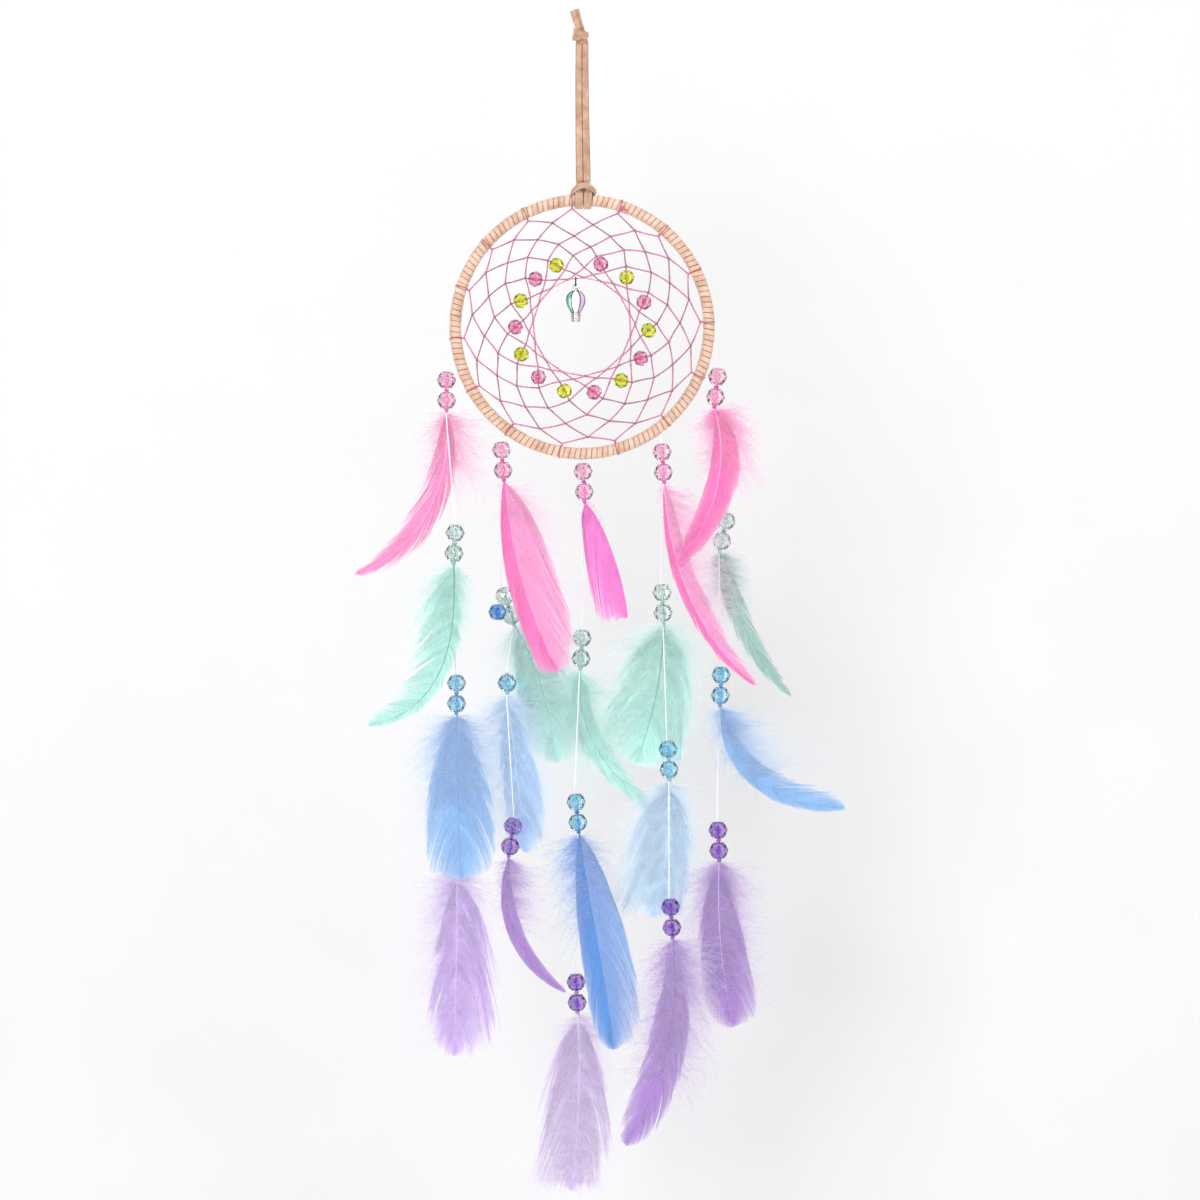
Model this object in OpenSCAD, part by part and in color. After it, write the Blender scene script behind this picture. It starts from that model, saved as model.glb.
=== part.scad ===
// Dream catcher: a lace-wrapped hoop with a knotted web, a balloon charm, and five strings of beads and feathers.
// Origin: the hanging point, between the two lace strands just under their knot.
// +Z is up, the front faces -Y, and +X is to the right as seen from the front.

/* [Hoop] */
// Outer diameter of the wrapped hoop
hoop_d = 160; // [158:0.5:164]
// Thickness of the hoop with its wrapping
wrap_d = 7.5; // [7:0.1:7.6]
// Thickness of the bare ring inside the wrapping
ring_d = 5; // [4:0.1:5.6]

/* [Hanging lace] */
// Length of the doubled lace between its knot and the hitch on the hoop
lace_len = 83; // [75:1:100]
// Width of the lace where it hangs
lace_w = 3.4; // [3:0.1:3.5]
// Thickness of the lace
lace_t = 1.3; // [1:0.1:1.5]

/* [Web] */
// Thickness of the web thread
web_thread_d = 0.7; // [0.5:0.05:0.75]
// Diameter of the beads on the web
web_bead_d = 9.6; // [8:0.1:9.8]
// How far the anchors are spaced unevenly round the hoop, in degrees
uneven = 4.5; // [0:0.5:5]

/* [Strings] */
// Diameter of the hanging beads
bead_d = 11.6; // [10:0.1:11.8]
// Distance between the two beads of a pair
pair_pitch = 12.3; // [12.2:0.1:13]
// Thickness of the hanging thread
thread_d = 0.8; // [0.6:0.05:0.85]
// Thickness of a feather's vane
vane_t = 0.5; // [0.4:0.05:0.7]
// Thickness of a feather's quill
quill_d = 0.9; // [0.7:0.05:0.95]

/* [Charm] */
// Width of the balloon
balloon_w = 11; // [9:0.5:12]
// Height of the balloon
balloon_h = 13.7; // [12:0.1:14]
// Thickness of the balloon
balloon_t = 2.8; // [2:0.1:3.2]

/* [Hidden] */
$fn = 48;
hoop_r = hoop_d / 2;
tube_r = hoop_r - wrap_d / 2;
hoop_top = -lace_len - 7.1;
hoop_z = hoop_top - hoop_r;
tilt_z = hoop_top - wrap_d / 2;

// Points in the hoop's plane are [x, z]; angles run clockwise from the top, seen from the front.
function at_hoop(r, a) = [r * sin(a), hoop_z + r * cos(a)];
function in3(p, y = 0) = [p[0], y, p[1]];
function unit(v) = v / norm(v);

// ---- Web ----
anchors = 15;
first_anchor = -4;
web_pitch = 360 / anchors;
anchor_r = hoop_r - wrap_d - 1.25;
web_r = [anchor_r, 66.4, 59, 53, 45, 35.6, 32, 29.6];
web_rows = len(web_r);
last_row = web_rows - 1;
web_half = web_thread_d / 2;
// The thread starts and ends near the top, so the outer rows dip there and the inner ones lean to it.
dip = 5;
lean_in = 6;
function near_top(a, centre, spread) =
    let (off = ((a - centre + 540) % 360) - 180)
    exp(-pow(off / spread, 2));
function web_angle(row, u) =
    let (a = first_anchor + web_pitch * u)
    a + uneven * cos(a - 255) - (row >= 4 ? lean_in * near_top(a, 25, 30) : 0);
function web_node(row, i) =
    let (u = i + row / 2)
    let (a = web_angle(row, u))
    let (share = row >= 1 && row <= 3 ? 1 : row == 4 ? 0.5 : 0)
    at_hoop(web_r[row] - share * dip * near_top(a, 2, 16), a);

// A polygon's edges are moved by d towards its left, and met again.
function line_shift(a, b, d) = let (v = unit(b - a)) [a + d * [-v[1], v[0]], v];
function meet(l, m) =
    let (den = l[1][0] * m[1][1] - l[1][1] * m[1][0])
    let (gap = m[0] - l[0])
    l[0] + l[1] * (gap[0] * m[1][1] - gap[1] * m[1][0]) / den;
function shifted(points, d) =
    let (n = len(points))
    [for (i = [0 : n - 1])
        meet(line_shift(points[(i + n - 1) % n], points[i], d),
             line_shift(points[i], points[(i + 1) % n], d))];

web_outline = [for (i = [0 : anchors - 1]) each [web_node(0, i), web_node(1, i)]];
web_cells = [for (row = [0 : last_row - 2]) for (i = [0 : anchors - 1])
    [web_node(row, i), web_node(row + 1, i), web_node(row + 2, i - 1), web_node(row + 1, i - 1)]];
web_gussets = [for (i = [0 : anchors - 1])
    [web_node(last_row - 1, i), web_node(last_row, i), web_node(last_row, i - 1)]];
web_centre = [for (i = [0 : anchors - 1]) web_node(last_row, i)];
// The outline runs clockwise, so its left side is outwards and a cell's is outwards too.
web_paths = concat(
    [shifted(web_outline, web_half)],
    [for (c = web_cells) shifted(c, -web_half)],
    [for (c = web_gussets) shifted(c, -web_half)],
    [shifted(web_centre, -web_half)]);
function starts(lists, i = 0, sum = 0) =
    i == len(lists) ? [] : concat([sum], starts(lists, i + 1, sum + len(lists[i])));

module web_thread() {
    first = starts(web_paths);
    color("#b98a96")
        rotate([90, 0, 0])
        linear_extrude(web_thread_d, center = true)
        polygon([for (p = web_paths) each p],
                [for (i = [0 : len(web_paths) - 1])
                    [for (j = [0 : len(web_paths[i]) - 1]) first[i] + j]]);
}

// The thread goes once round the wrapping at each anchor.
loop_r = wrap_d / 2 + 0.15 + web_half;
module web_anchor_loops() {
    color("#c4587f")
        for (i = [0 : anchors - 1])
            translate(in3(at_hoop(tube_r, web_angle(0, i))))
            rotate([0, web_angle(0, i), 0])
            rotate([0, 90, 0])
            rotate_extrude()
            translate([loop_r, 0])
            circle(web_half, $fn = 16);
}

// The knot that ties the thread off, on the front of the hoop beside the second anchor.
tie_angle = web_angle(0, 1) + 1.4;
module web_tie_knot() {
    color("#b0305f")
        translate(in3(at_hoop(tube_r - 1.2, tie_angle), -wrap_d / 2 - 0.9))
        sphere(1.1);
}

// ---- Faceted beads ----
bore_r = 1.1;
bead_sides = 8;
bead_rings = [-58, -30, 0, 30, 58];
function bead_points(r) = [for (k = [0 : len(bead_rings) - 1]) for (j = [0 : bead_sides - 1])
    let (lat = bead_rings[k], turn = (j + (k % 2) / 2) * 360 / bead_sides)
    [r * cos(lat) * cos(turn), r * cos(lat) * sin(turn), r * sin(lat)]];
function bead_band(k) = [for (j = [0 : bead_sides - 1])
    let (low = k * bead_sides, high = low + bead_sides, next = (j + 1) % bead_sides, odd = k % 2)
    each odd == 0
        ? [[low + j, high + j, low + next], [high + j, high + next, low + next]]
        : [[low + j, high + j, high + next], [low + j, high + next, low + next]]];
bead_faces = concat(
    [[for (j = [0 : bead_sides - 1]) j]],
    [for (k = [0 : len(bead_rings) - 2]) each bead_band(k)],
    [[for (j = [bead_sides - 1 : -1 : 0]) (len(bead_rings) - 1) * bead_sides + j]]);

module bead(d, hole_r) {
    difference() {
        polyhedron(bead_points(d / 2), bead_faces, convexity = 4);
        cylinder(r = hole_r, h = 2 * d, center = true);
    }
}

// The angle about Y that turns +Z towards a direction in the hoop's plane.
function heading(v) = atan2(v[0], v[1]);

web_bore_r = 0.85;
bead_row = 4;
charm_place = anchors - 2;
function web_bead_ends(i) = [web_node(bead_row, i), web_node(bead_row + 1, i)];
module web_bead(i) {
    ends = web_bead_ends(i);
    translate(in3((ends[0] + ends[1]) / 2))
        rotate([0, heading(ends[1] - ends[0]), 0])
        bead(web_bead_d, web_bore_r);
}
// The place above the charm holds no bead; the others alternate.
function web_places(parity) = [for (i = [0 : anchors - 1])
    let (turn = (i - charm_place + anchors) % anchors)
    if (turn > 0 && turn % 2 == parity) i];
module web_beads_pink() { color("#e79ac0") for (i = web_places(1)) web_bead(i); }
module web_beads_yellow() { color("#dbe04a") for (i = web_places(0)) web_bead(i); }

// ---- Hoop ----
module hoop_ring() {
    color("#b98d5c")
        translate([0, 0, hoop_z])
        rotate([90, 0, 0])
        rotate_extrude()
        translate([tube_r, 0])
        circle(d = ring_d);
}
module hoop_wrap() {
    color("#e9c3a2")
        translate([0, 0, hoop_z])
        rotate([90, 0, 0])
        rotate_extrude()
        translate([tube_r, 0])
        difference() {
            circle(d = wrap_d);
            circle(d = ring_d + 0.1);
        }
}

// ---- Cords ----
// A tube of a given section along a polyline: one ring of points at each place, square to the bisector.
function bisector(route, i) =
    i == 0 ? unit(route[1] - route[0])
    : i == len(route) - 1 ? unit(route[i] - route[i - 1])
    : unit(unit(route[i] - route[i - 1]) + unit(route[i + 1] - route[i]));
function cord_ring(route, i, w, t, sides) =
    let (d = bisector(route, i))
    let (side = unit(cross(d, [0, 1, 0])))
    let (front = cross(side, d))
    [for (j = [0 : sides - 1])
        let (a = (j + 0.5) * 360 / sides)
        route[i] + side * w / 2 * cos(a) / cos(180 / sides) + front * t / 2 * sin(a) / cos(180 / sides)];
module cord(route, w, t, sides = 8) {
    n = len(route);
    polyhedron(
        [for (i = [0 : n - 1]) each cord_ring(route, i, w, t, sides)],
        concat(
            [[for (j = [sides - 1 : -1 : 0]) j]],
            [for (i = [0 : n - 2]) for (j = [0 : sides - 1])
                let (low = i * sides, high = low + sides, next = (j + 1) % sides)
                [low + j, low + next, high + next, high + j]],
            [[for (j = [0 : sides - 1]) (n - 1) * sides + j]]),
        convexity = 4);
}

// ---- Hanging lace ----
strand_end = -lace_len + 0.2;
left_strand = [[-1.9, 0, 0.6], [-2, 0, -20], [-1.9, 0, -42], [-1.7, 0, -62], [-1.5, 0, strand_end]];
right_strand = [[1.9, 0, 0.6], [1.9, 0, -20], [2.1, 0, -42], [2.5, 0, -62], [2.9, 0, strand_end]];
module lace_strands() {
    color("#dcb18c") {
        cord(left_strand, lace_w, lace_t);
        cord(right_strand, lace_w, lace_t);
    }
}

// An overhand knot of both strands, with their two cut ends leaning to the left above it.
knot_z = 5.6;
left_tail = [[-2.4, -0.8, 7], [-4.2, -0.8, 13.5], [-5.6, -0.8, 20]];
right_tail = [[-0.4, 0.8, 7], [-2, 0.8, 13.5], [-3.2, 0.8, 21]];
module lace_knot() {
    color("#dcb18c") {
        hull()
            for (x = [-3.4, 1.8])
                translate([x, 0, knot_z + x * 0.2])
                sphere(3, $fn = 20);
        cord(left_tail, lace_w, lace_t);
        cord(right_tail, lace_w, lace_t);
    }
}

// A lark's head round the hoop: two turns of lace side by side, and the bight across them.
hitch_gap = 0.5;
turn_x = [-2.1, 3.6];
turn_w = 5.4;
bight_x = [-3.2, 6.2];
module larks_head() {
    color("#dcb18c")
        difference() {
            union() {
                for (x = turn_x)
                    translate([x, 0, tilt_z])
                    rotate([0, 90, 0])
                    cylinder(r = wrap_d / 2 + hitch_gap + lace_t, h = turn_w, center = true);
                hull()
                    for (x = bight_x)
                        translate([x, 0, -lace_len - 3.7])
                        sphere(3.6, $fn = 20);
            }
            translate([0, 0, hoop_z])
                rotate([90, 0, 0])
                rotate_extrude()
                translate([tube_r, 0])
                circle(r = wrap_d / 2 + hitch_gap);
        }
}

// ---- Charm ----
charm_wire = 0.8;
charm_ring_r = 2.6;
charm_eye_r = 1.5;
// The charm hangs from the middle of the innermost thread's top edge.
charm_up = (web_node(last_row, anchors - 4) + web_node(last_row, anchors - 3)) / 2;
ring_hang = charm_ring_r - charm_wire / 2 - web_half - 0.1;
ring_at = charm_up - [0, ring_hang];
ring_low = ring_at - [0, charm_ring_r];
eye_at = ring_low - [0, charm_eye_r - charm_wire - 0.1];
balloon_top = eye_at[1] - charm_eye_r - 0.7;
belly_r = balloon_w / 2;
mouth_r = 2.1;
basket_w = 6.2;
basket_h = 5.2;
module charm_ring() {
    color("silver")
        translate(in3(ring_at))
        rotate([0, 90, 0])
        rotate_extrude()
        translate([charm_ring_r, 0])
        circle(d = charm_wire, $fn = 24);
}
module charm_eye() {
    color("silver") {
        translate(in3(eye_at))
            rotate([90, 0, 0])
            rotate_extrude()
            translate([charm_eye_r, 0])
            circle(d = charm_wire, $fn = 24);
        translate([eye_at[0], 0, balloon_top + 0.45])
            cube([3.4, 1.6, 0.9], center = true);
    }
}
module charm_balloon() {
    color("#f2f0f4")
        translate([eye_at[0], 0, balloon_top])
        rotate([90, 0, 0])
        linear_extrude(balloon_t, center = true)
        hull() {
            translate([0, -belly_r]) circle(belly_r, $fn = 40);
            translate([0, mouth_r - balloon_h]) circle(mouth_r, $fn = 24);
        }
}
module charm_basket() {
    color("silver")
        translate([eye_at[0], 0, balloon_top - balloon_h - basket_h])
        cylinder(d1 = basket_w * 0.82, d2 = basket_w, h = basket_h);
}

// ---- Strings ----
// Where each string is tied, as an angle on the hoop.
string_angles = [253, 217, 179.6, 143.4, 108];
// Each drop: the upper bead's centre [x, z] from the hoop's centre, the pair's lean in degrees, the beads on it,
// and how far behind the string's plane the two beads lie.
drops = [
    [[[-81.5, -32], 0, 2, 0, 0], [[-76.4, -124], -3, 2, 0, 0], [[-75.5, -214.3], 0, 2, 0, 0],
        [[-75.2, -305.7], 0, 2, 0, 0]],
    [[[-48.4, -74.1], 4, 2, 0, 0], [[-46.6, -161.9], 18, 2, 4.2, 6.8], [[-45.1, -214.3], 0, 1, 0, 0],
        [[-41.5, -300.3], -8, 2, 0, 0]],
    [[[0.6, -87], 3, 2, 0, 0], [[0, -187.2], -3, 2, 0, 0], [[-3.6, -285.8], 5, 2, 0, 0],
        [[-3.6, -394.1], 3, 2, 0, 0]],
    [[[48.1, -75.3], 4, 2, 0, 0], [[48.1, -159.8], 3, 2, 0, 0], [[51.7, -254], 3, 2, 0, 0],
        [[53.2, -349], 4, 2, 0, 0]],
    [[[81.5, -30], -6, 2, 0, 0], [[86.6, -116.8], -12, 2, 0, 0], [[83.6, -209.4], -2, 2, 0, 0],
        [[81.8, -302.7], 2, 2, 0, 0]]
];
function lean_dir(lean) = [sin(lean), -cos(lean)];
function upper_bead(d) = in3([d[0][0], hoop_z + d[0][1]], d[3]);
function lower_bead(d) =
    let (step = d[2] == 2 ? pair_pitch : 0)
    let (drift = d[2] == 2 ? d[4] - d[3] : 0)
    upper_bead(d) + in3(lean_dir(d[1]) * step, drift);
function pair_axis(d) = d[2] == 2 ? unit(lower_bead(d) - upper_bead(d)) : in3(lean_dir(d[1]));
bead_edge = bead_d / 2 + 0.3;
function pair_top(d) = upper_bead(d) - pair_axis(d) * bead_edge;
function pair_bottom(d) = lower_bead(d) + pair_axis(d) * bead_edge;

module along(a, b) {
    v = b - a;
    translate(a)
        rotate([0, acos(v[2] / norm(v)), atan2(v[1], v[0])])
        children();
}
module rod(a, b, d) { along(a, b) cylinder(d = d, h = norm(b - a), $fn = 24); }

module bead_pair(s, t) {
    d = drops[s][t];
    axis = pair_axis(d);
    along(upper_bead(d), upper_bead(d) + axis) bead(bead_d, bore_r);
    if (d[2] == 2)
        along(lower_bead(d), lower_bead(d) + axis) bead(bead_d, bore_r);
}

// The second string's upper blue bead is caught beside the green pair above it, on a small loop of thread.
caught_bead_d = 11;
caught_at = [-50.8, -1.2, hoop_z - 171.6];
module blue_bead_caught() {
    color("#8fc4ea")
        translate(caught_at)
        bead(caught_bead_d, bore_r);
}

// The thread runs beside the quill in the bores.
thread_side = -0.45;
function beside(p, d) = p + thread_side * [cos(d[1]), 0, sin(d[1])];
function string_route(s) =
    let (tie = at_hoop(hoop_r + thread_d / 2 + 0.15, string_angles[s]))
    concat([in3(tie)],
           [for (t = [0 : 3]) each [beside(pair_top(drops[s][t]), drops[s][t]),
                                    beside(pair_bottom(drops[s][t]), drops[s][t])]]);
module string_thread(s) { color("#f3f3f3") cord(string_route(s), thread_d, thread_d); }

// ---- Feathers ----
// Each feather: its layer, the handles and tip of its curved shaft from the quill's exit, and the width of the
// vane on its left and right. A layer is a distance in front of (minus) or behind the strings' plane.
feathers = [
    [[7.5, [3, -40], [-12, -82], [-54, -98], 5, 6], [-9, [3, -40], [-2, -88], [-50, -97], 20, 6],
        [-7.5, [0, -33], [2, -66], [3, -99], 20, 21], [7.5, [0, -38], [-1, -76], [-2, -114], 14, 22]],
    [[-7.5, [3, -40], [14, -80], [32, -113], 11, 14], [13.5, [12, -20], [22, -50], [25, -82], 16, 19],
        [9, [3, -33], [9, -66], [11, -95], 10, 12], [-9, [-6, -30], [4, -62], [33, -80], 4, 5]],
    [[-9, [1, -25], [10, -50], [25, -67], 8, 6], [10.5, [-3, -30], [8, -60], [46, -86], 5, 5],
        [-7.5, [6, -43], [16, -86], [21, -128], 11, 18], [7.5, [2, -36], [1, -72], [-4, -107], 21, 19]],
    [[-7.5, [2, -45], [18, -92], [54, -121], 6, 8], [12, [0, -30], [-6, -56], [-16, -84], 26, 20],
        [9, [1, -28], [-2, -56], [-9, -82], 28, 16], [-9, [4, -40], [-2, -84], [-28, -122], 13, 12]],
    [[-9, [8, -30], [4, -62], [-22, -94], 8, 9], [10.5, [8, -30], [20, -66], [43, -87], 5, 6],
        [-10.5, [4, -36], [24, -58], [73, -61], 3, 13], [7.5, [-1, -34], [1, -68], [9, -99], 14, 11]]
];
quill_side = 0.5;
vane_start = 0.14;
vane_steps = 14;
function curve(f, t) =
    3 * t * pow(1 - t, 2) * f[1] + 3 * t * t * (1 - t) * f[2] + t * t * t * f[3];
function vane_share(t) =
    let (u = (t - vane_start) / (1 - vane_start))
    0.06 + 0.94 * pow(sin(180 * pow(max(u, 0), 0.8)), 0.7);
function vane_edge(f, side) =
    [for (k = [0 : vane_steps])
        let (t = vane_start + (1 - vane_start) * k / vane_steps)
        let (ahead = unit(curve(f, t + 0.01) - curve(f, t - 0.01)))
        let (w = (side < 0 ? f[4] : f[5]) * vane_share(t))
        curve(f, t) + side * w * [-ahead[1], ahead[0]]];
function reversed(v) = [for (i = [len(v) - 1 : -1 : 0]) v[i]];

module feather(s, t) {
    d = drops[s][t];
    f = feathers[s][t];
    exit = pair_bottom(d);
    across = quill_side * [cos(d[1]), 0, sin(d[1])];
    root = (d[2] == 2 ? (upper_bead(d) + lower_bead(d)) / 2 : lower_bead(d)) + across;
    elbow = exit + across;
    start = curve(f, vane_start + 0.03);
    vane_root = [exit[0] + start[0], f[0], exit[2] + start[1]];
    rod(root, elbow, quill_d);
    translate(elbow) sphere(d = quill_d + 0.1, $fn = 24);
    rod(elbow, vane_root, quill_d);
    translate([exit[0], f[0], exit[2]])
        rotate([90, 0, 0])
        linear_extrude(vane_t, center = true)
        polygon(concat(vane_edge(f, -1), reversed(vane_edge(f, 1))));
}

// The four tiers, from the top.
tiers = ["pink", "green", "blue", "purple"];
bead_tints = ["#f3a9cf", "#cfe8dd", "#a9d4ef", "#b48fd6"];
feather_tints = ["#f57fc0", "#9fe0cc", "#85b7ee", "#b08fe0"];
module beads_of(s, t) { color(bead_tints[t]) bead_pair(s, t); }
module feather_of(s, t) { color(feather_tints[t]) feather(s, t); }

lace_knot();
lace_strands();
larks_head();
hoop_ring();
hoop_wrap();
web_thread();
web_anchor_loops();
web_tie_knot();
web_beads_pink();
web_beads_yellow();
charm_ring();
charm_eye();
charm_balloon();
charm_basket();
blue_bead_caught();
for (s = [0 : 4])
    string_thread(s);
for (t = [0 : 3]) for (s = [0 : 4])
    beads_of(s, t);
for (t = [0 : 3]) for (s = [0 : 4])
    feather_of(s, t);
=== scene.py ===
from math import ceil, copysign, cos, exp, pi, radians, sin, tan, tau
from types import SimpleNamespace

import bpy
import numpy as np
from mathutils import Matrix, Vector


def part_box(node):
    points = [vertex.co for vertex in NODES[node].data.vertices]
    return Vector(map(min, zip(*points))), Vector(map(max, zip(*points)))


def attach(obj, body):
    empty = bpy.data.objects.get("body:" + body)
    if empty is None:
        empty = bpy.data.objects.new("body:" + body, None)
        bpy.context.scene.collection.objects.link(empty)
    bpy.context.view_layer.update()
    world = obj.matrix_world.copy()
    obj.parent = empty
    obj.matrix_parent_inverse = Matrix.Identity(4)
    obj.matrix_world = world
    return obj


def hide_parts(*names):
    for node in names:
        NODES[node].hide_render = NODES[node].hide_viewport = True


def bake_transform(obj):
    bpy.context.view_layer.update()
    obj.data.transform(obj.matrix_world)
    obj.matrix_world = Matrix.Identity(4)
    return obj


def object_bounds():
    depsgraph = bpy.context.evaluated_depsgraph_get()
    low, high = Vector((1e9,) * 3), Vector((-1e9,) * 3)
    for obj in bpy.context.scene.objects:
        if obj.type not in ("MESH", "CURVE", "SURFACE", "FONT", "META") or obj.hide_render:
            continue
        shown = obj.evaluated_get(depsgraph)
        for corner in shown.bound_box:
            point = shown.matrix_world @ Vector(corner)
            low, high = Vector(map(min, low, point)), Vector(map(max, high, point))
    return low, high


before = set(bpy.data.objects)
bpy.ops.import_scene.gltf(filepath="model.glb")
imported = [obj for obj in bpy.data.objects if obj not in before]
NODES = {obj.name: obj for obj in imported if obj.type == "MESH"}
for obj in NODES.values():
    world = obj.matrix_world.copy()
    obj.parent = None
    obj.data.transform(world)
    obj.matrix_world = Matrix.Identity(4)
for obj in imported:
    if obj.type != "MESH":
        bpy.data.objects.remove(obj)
CAD_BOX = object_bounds()
MM = 0.001


# ---- places taken from the frame
def box_mm(node):
    low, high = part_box(node)
    return np.array(low) / MM, np.array(high) / MM


wrap_low, wrap_high = box_mm("hoop_wrap")
HOOP_Z = (wrap_low[2] + wrap_high[2]) / 2
HOOP_R = (wrap_high[0] - wrap_low[0]) / 2
WRAP_R = (wrap_high[1] - wrap_low[1]) / 2
TUBE_R = HOOP_R - WRAP_R
HOOP_TOP = HOOP_Z + HOOP_R
LACE_W, LACE_T = 3.4, 1.3
STRAND_W = 3.75  # as drawn, with painted shade along its edges; the cord's own width is LACE_W
BEAD_EDGE = 6.1  # from a bead's middle to the end of its bore
PAIR_PITCH = 12.3
TIERS = ("pink", "green", "blue", "purple")
WHITE = (1, 1, 1)
FRONT = np.array([0, -1, 0])


def at_hoop(r, angle):
    a = radians(angle)
    return np.array([r * sin(a), 0.0, HOOP_Z + r * cos(a)])


def circle(n):
    return np.linspace(0, tau, n + 1)[:-1]


# ---- camera
def add_object(name, data):
    o = bpy.data.objects.new(name, data)
    bpy.context.scene.collection.objects.link(o)
    return o


low, high = CAD_BOX
LENS, SENSOR = 135.0, 36.0
PICTURE = 1.0152  # the picture's width against the part's height
AIM_X, AIM_Z = 0.0006, -0.0002  # from the middle of the part's box
view_width = (high.z - low.z) * PICTURE
cam_data = bpy.data.cameras.new("camera")
cam_data.lens = LENS
cam_data.sensor_width = SENSOR
cam_data.clip_end = 50
camera = add_object("camera", cam_data)
camera.location = (
    (high.x + low.x) / 2 + AIM_X,
    -view_width / 2 / (SENSOR / 2 / LENS),
    (high.z + low.z) / 2 + AIM_Z,
)
camera.rotation_euler = (radians(90), 0, 0)
bpy.context.scene.camera = camera


# ---- meshes
class Shape:
    """Points in mm with quads, triangles and a colour for each point."""

    def __init__(self):
        self.points, self.quads, self.tris, self.tints, self.count = [], [], [], [], 0

    def add(self, points, quads=(), tris=(), tint=WHITE):
        points = np.asarray(points, float).reshape(-1, 3)
        self.points.append(points)
        if len(quads):
            self.quads.append(np.asarray(quads, int).reshape(-1, 4) + self.count)
        if len(tris):
            self.tris.append(np.asarray(tris, int).reshape(-1, 3) + self.count)
        self.tints.append(np.broadcast_to(np.asarray(tint, float), (len(points), 3)))
        self.count += len(points)


def piece(shape, name, material, body, replaces=(), blend=None):
    """Makes a mesh of a shape. It rides a body, or, when blend is given, stays where it is without a body."""
    points = np.concatenate(shape.points) * MM
    quads = np.concatenate(shape.quads) if shape.quads else np.zeros((0, 4), int)
    tris = np.concatenate(shape.tris) if shape.tris else np.zeros((0, 3), int)
    mesh = bpy.data.meshes.new(name)
    mesh.vertices.add(len(points))
    mesh.vertices.foreach_set("co", points.astype(np.float32).ravel())
    mesh.loops.add(len(quads) * 4 + len(tris) * 3)
    mesh.loops.foreach_set("vertex_index", np.concatenate([quads.ravel(), tris.ravel()]).astype(np.int32))
    mesh.polygons.add(len(quads) + len(tris))
    totals = np.concatenate([np.full(len(quads), 4), np.full(len(tris), 3)]).astype(np.int32)
    starts = np.concatenate([[0], np.cumsum(totals)[:-1]]).astype(np.int32)
    mesh.polygons.foreach_set("loop_start", starts)
    mesh.polygons.foreach_set("use_smooth", np.full(len(totals), True))
    mesh.update(calc_edges=True)
    tint = mesh.attributes.new("tint", "FLOAT_COLOR", "POINT")
    colours = np.concatenate([np.concatenate(shape.tints), np.ones((len(points), 1))], axis=1)
    tint.data.foreach_set("color", colours.astype(np.float32).ravel())
    mesh.materials.append(material)
    obj = add_object(name, mesh)
    if blend:
        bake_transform(obj)
    else:
        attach(obj, body)
    if replaces:
        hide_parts(*replaces)
    return obj


def unit(v):
    return v / np.maximum(np.linalg.norm(v, axis=-1, keepdims=True), 1e-12)


def tube_quads(n, m, closed=False):
    """Quads between n rings of m points."""
    i, j = np.arange(n if closed else n - 1)[:, None], np.arange(m)[None]
    after, beside = (i + 1) % n, (j + 1) % m
    return np.stack([i * m + j, i * m + beside, after * m + beside, after * m + j], -1).reshape(-1, 4)


def sweep(shape, line, section, front=FRONT, scale=None, turn=None, tint=WHITE, closed=False, caps=True):
    """A closed section of (side, front) offsets swept along a line; front is the side it faces."""
    line = np.asarray(line, float)
    section = np.asarray(section, float)
    n, m = len(line), len(section)
    if closed:
        along = np.roll(line, -1, 0) - np.roll(line, 1, 0)
    else:
        along = np.gradient(line, axis=0)
    along = unit(along)
    front = np.broadcast_to(np.asarray(front, float), line.shape)
    out = unit(front - (front * along).sum(1, keepdims=True) * along)
    side = np.cross(along, out)
    scale = np.ones(n) if scale is None else np.asarray(scale, float)
    turn = np.zeros(n) if turn is None else np.asarray(turn, float)
    c, s = np.cos(turn)[:, None], np.sin(turn)[:, None]
    u = (section[None, :, 0] * c - section[None, :, 1] * s) * scale[:, None]
    v = (section[None, :, 0] * s + section[None, :, 1] * c) * scale[:, None]
    points = line[:, None] + side[:, None] * u[..., None] + out[:, None] * v[..., None]
    points = points.reshape(-1, 3)
    tris = []
    tint = np.asarray(tint, float)
    if tint.ndim == 2:
        tint = np.repeat(tint, m, axis=0)
    if caps and not closed:
        points = np.concatenate([points, line[:1], line[-1:]])
        if tint.ndim == 2:
            tint = np.concatenate([tint, tint[:1], tint[-1:]])
        first, last = n * m, n * m + 1
        for k in range(m):
            tris.append((first, (k + 1) % m, k))
            tris.append((last, (n - 1) * m + k, (n - 1) * m + (k + 1) % m))
    shape.add(points, tube_quads(n, m, closed), tris, tint)


def rounded(r, sides=8):
    a = np.arange(sides) * tau / sides
    return np.stack([r * np.cos(a), r * np.sin(a)], 1)


def flat_lace(w, t, corner=0.35):
    """A flat lace: a rectangle with rounded edges, and a point in the middle of each face."""
    points = []
    for cx, cy, start in ((1, 1, 0), (-1, 1, 90), (-1, -1, 180), (1, -1, 270)):
        x, y = cx * (w / 2 - corner), cy * (t / 2 - corner)
        for a in np.radians((start, start + 45, start + 90)):
            points.append((x + corner * cos(a), y + corner * sin(a)))
        if start in (0, 180):
            points.append((0, cy * t / 2))
    return np.array(points)


PLY_DEPTH = 0.1  # of the groove between the plies, as a share of the radius


def plied(r, sides=10):
    """The outline of a thread of two twisted plies."""
    a = np.arange(sides) * tau / sides
    rr = r * (1 - PLY_DEPTH + PLY_DEPTH * np.cos(2 * a))
    return np.stack([rr * np.cos(a), rr * np.sin(a)], 1)


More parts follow.
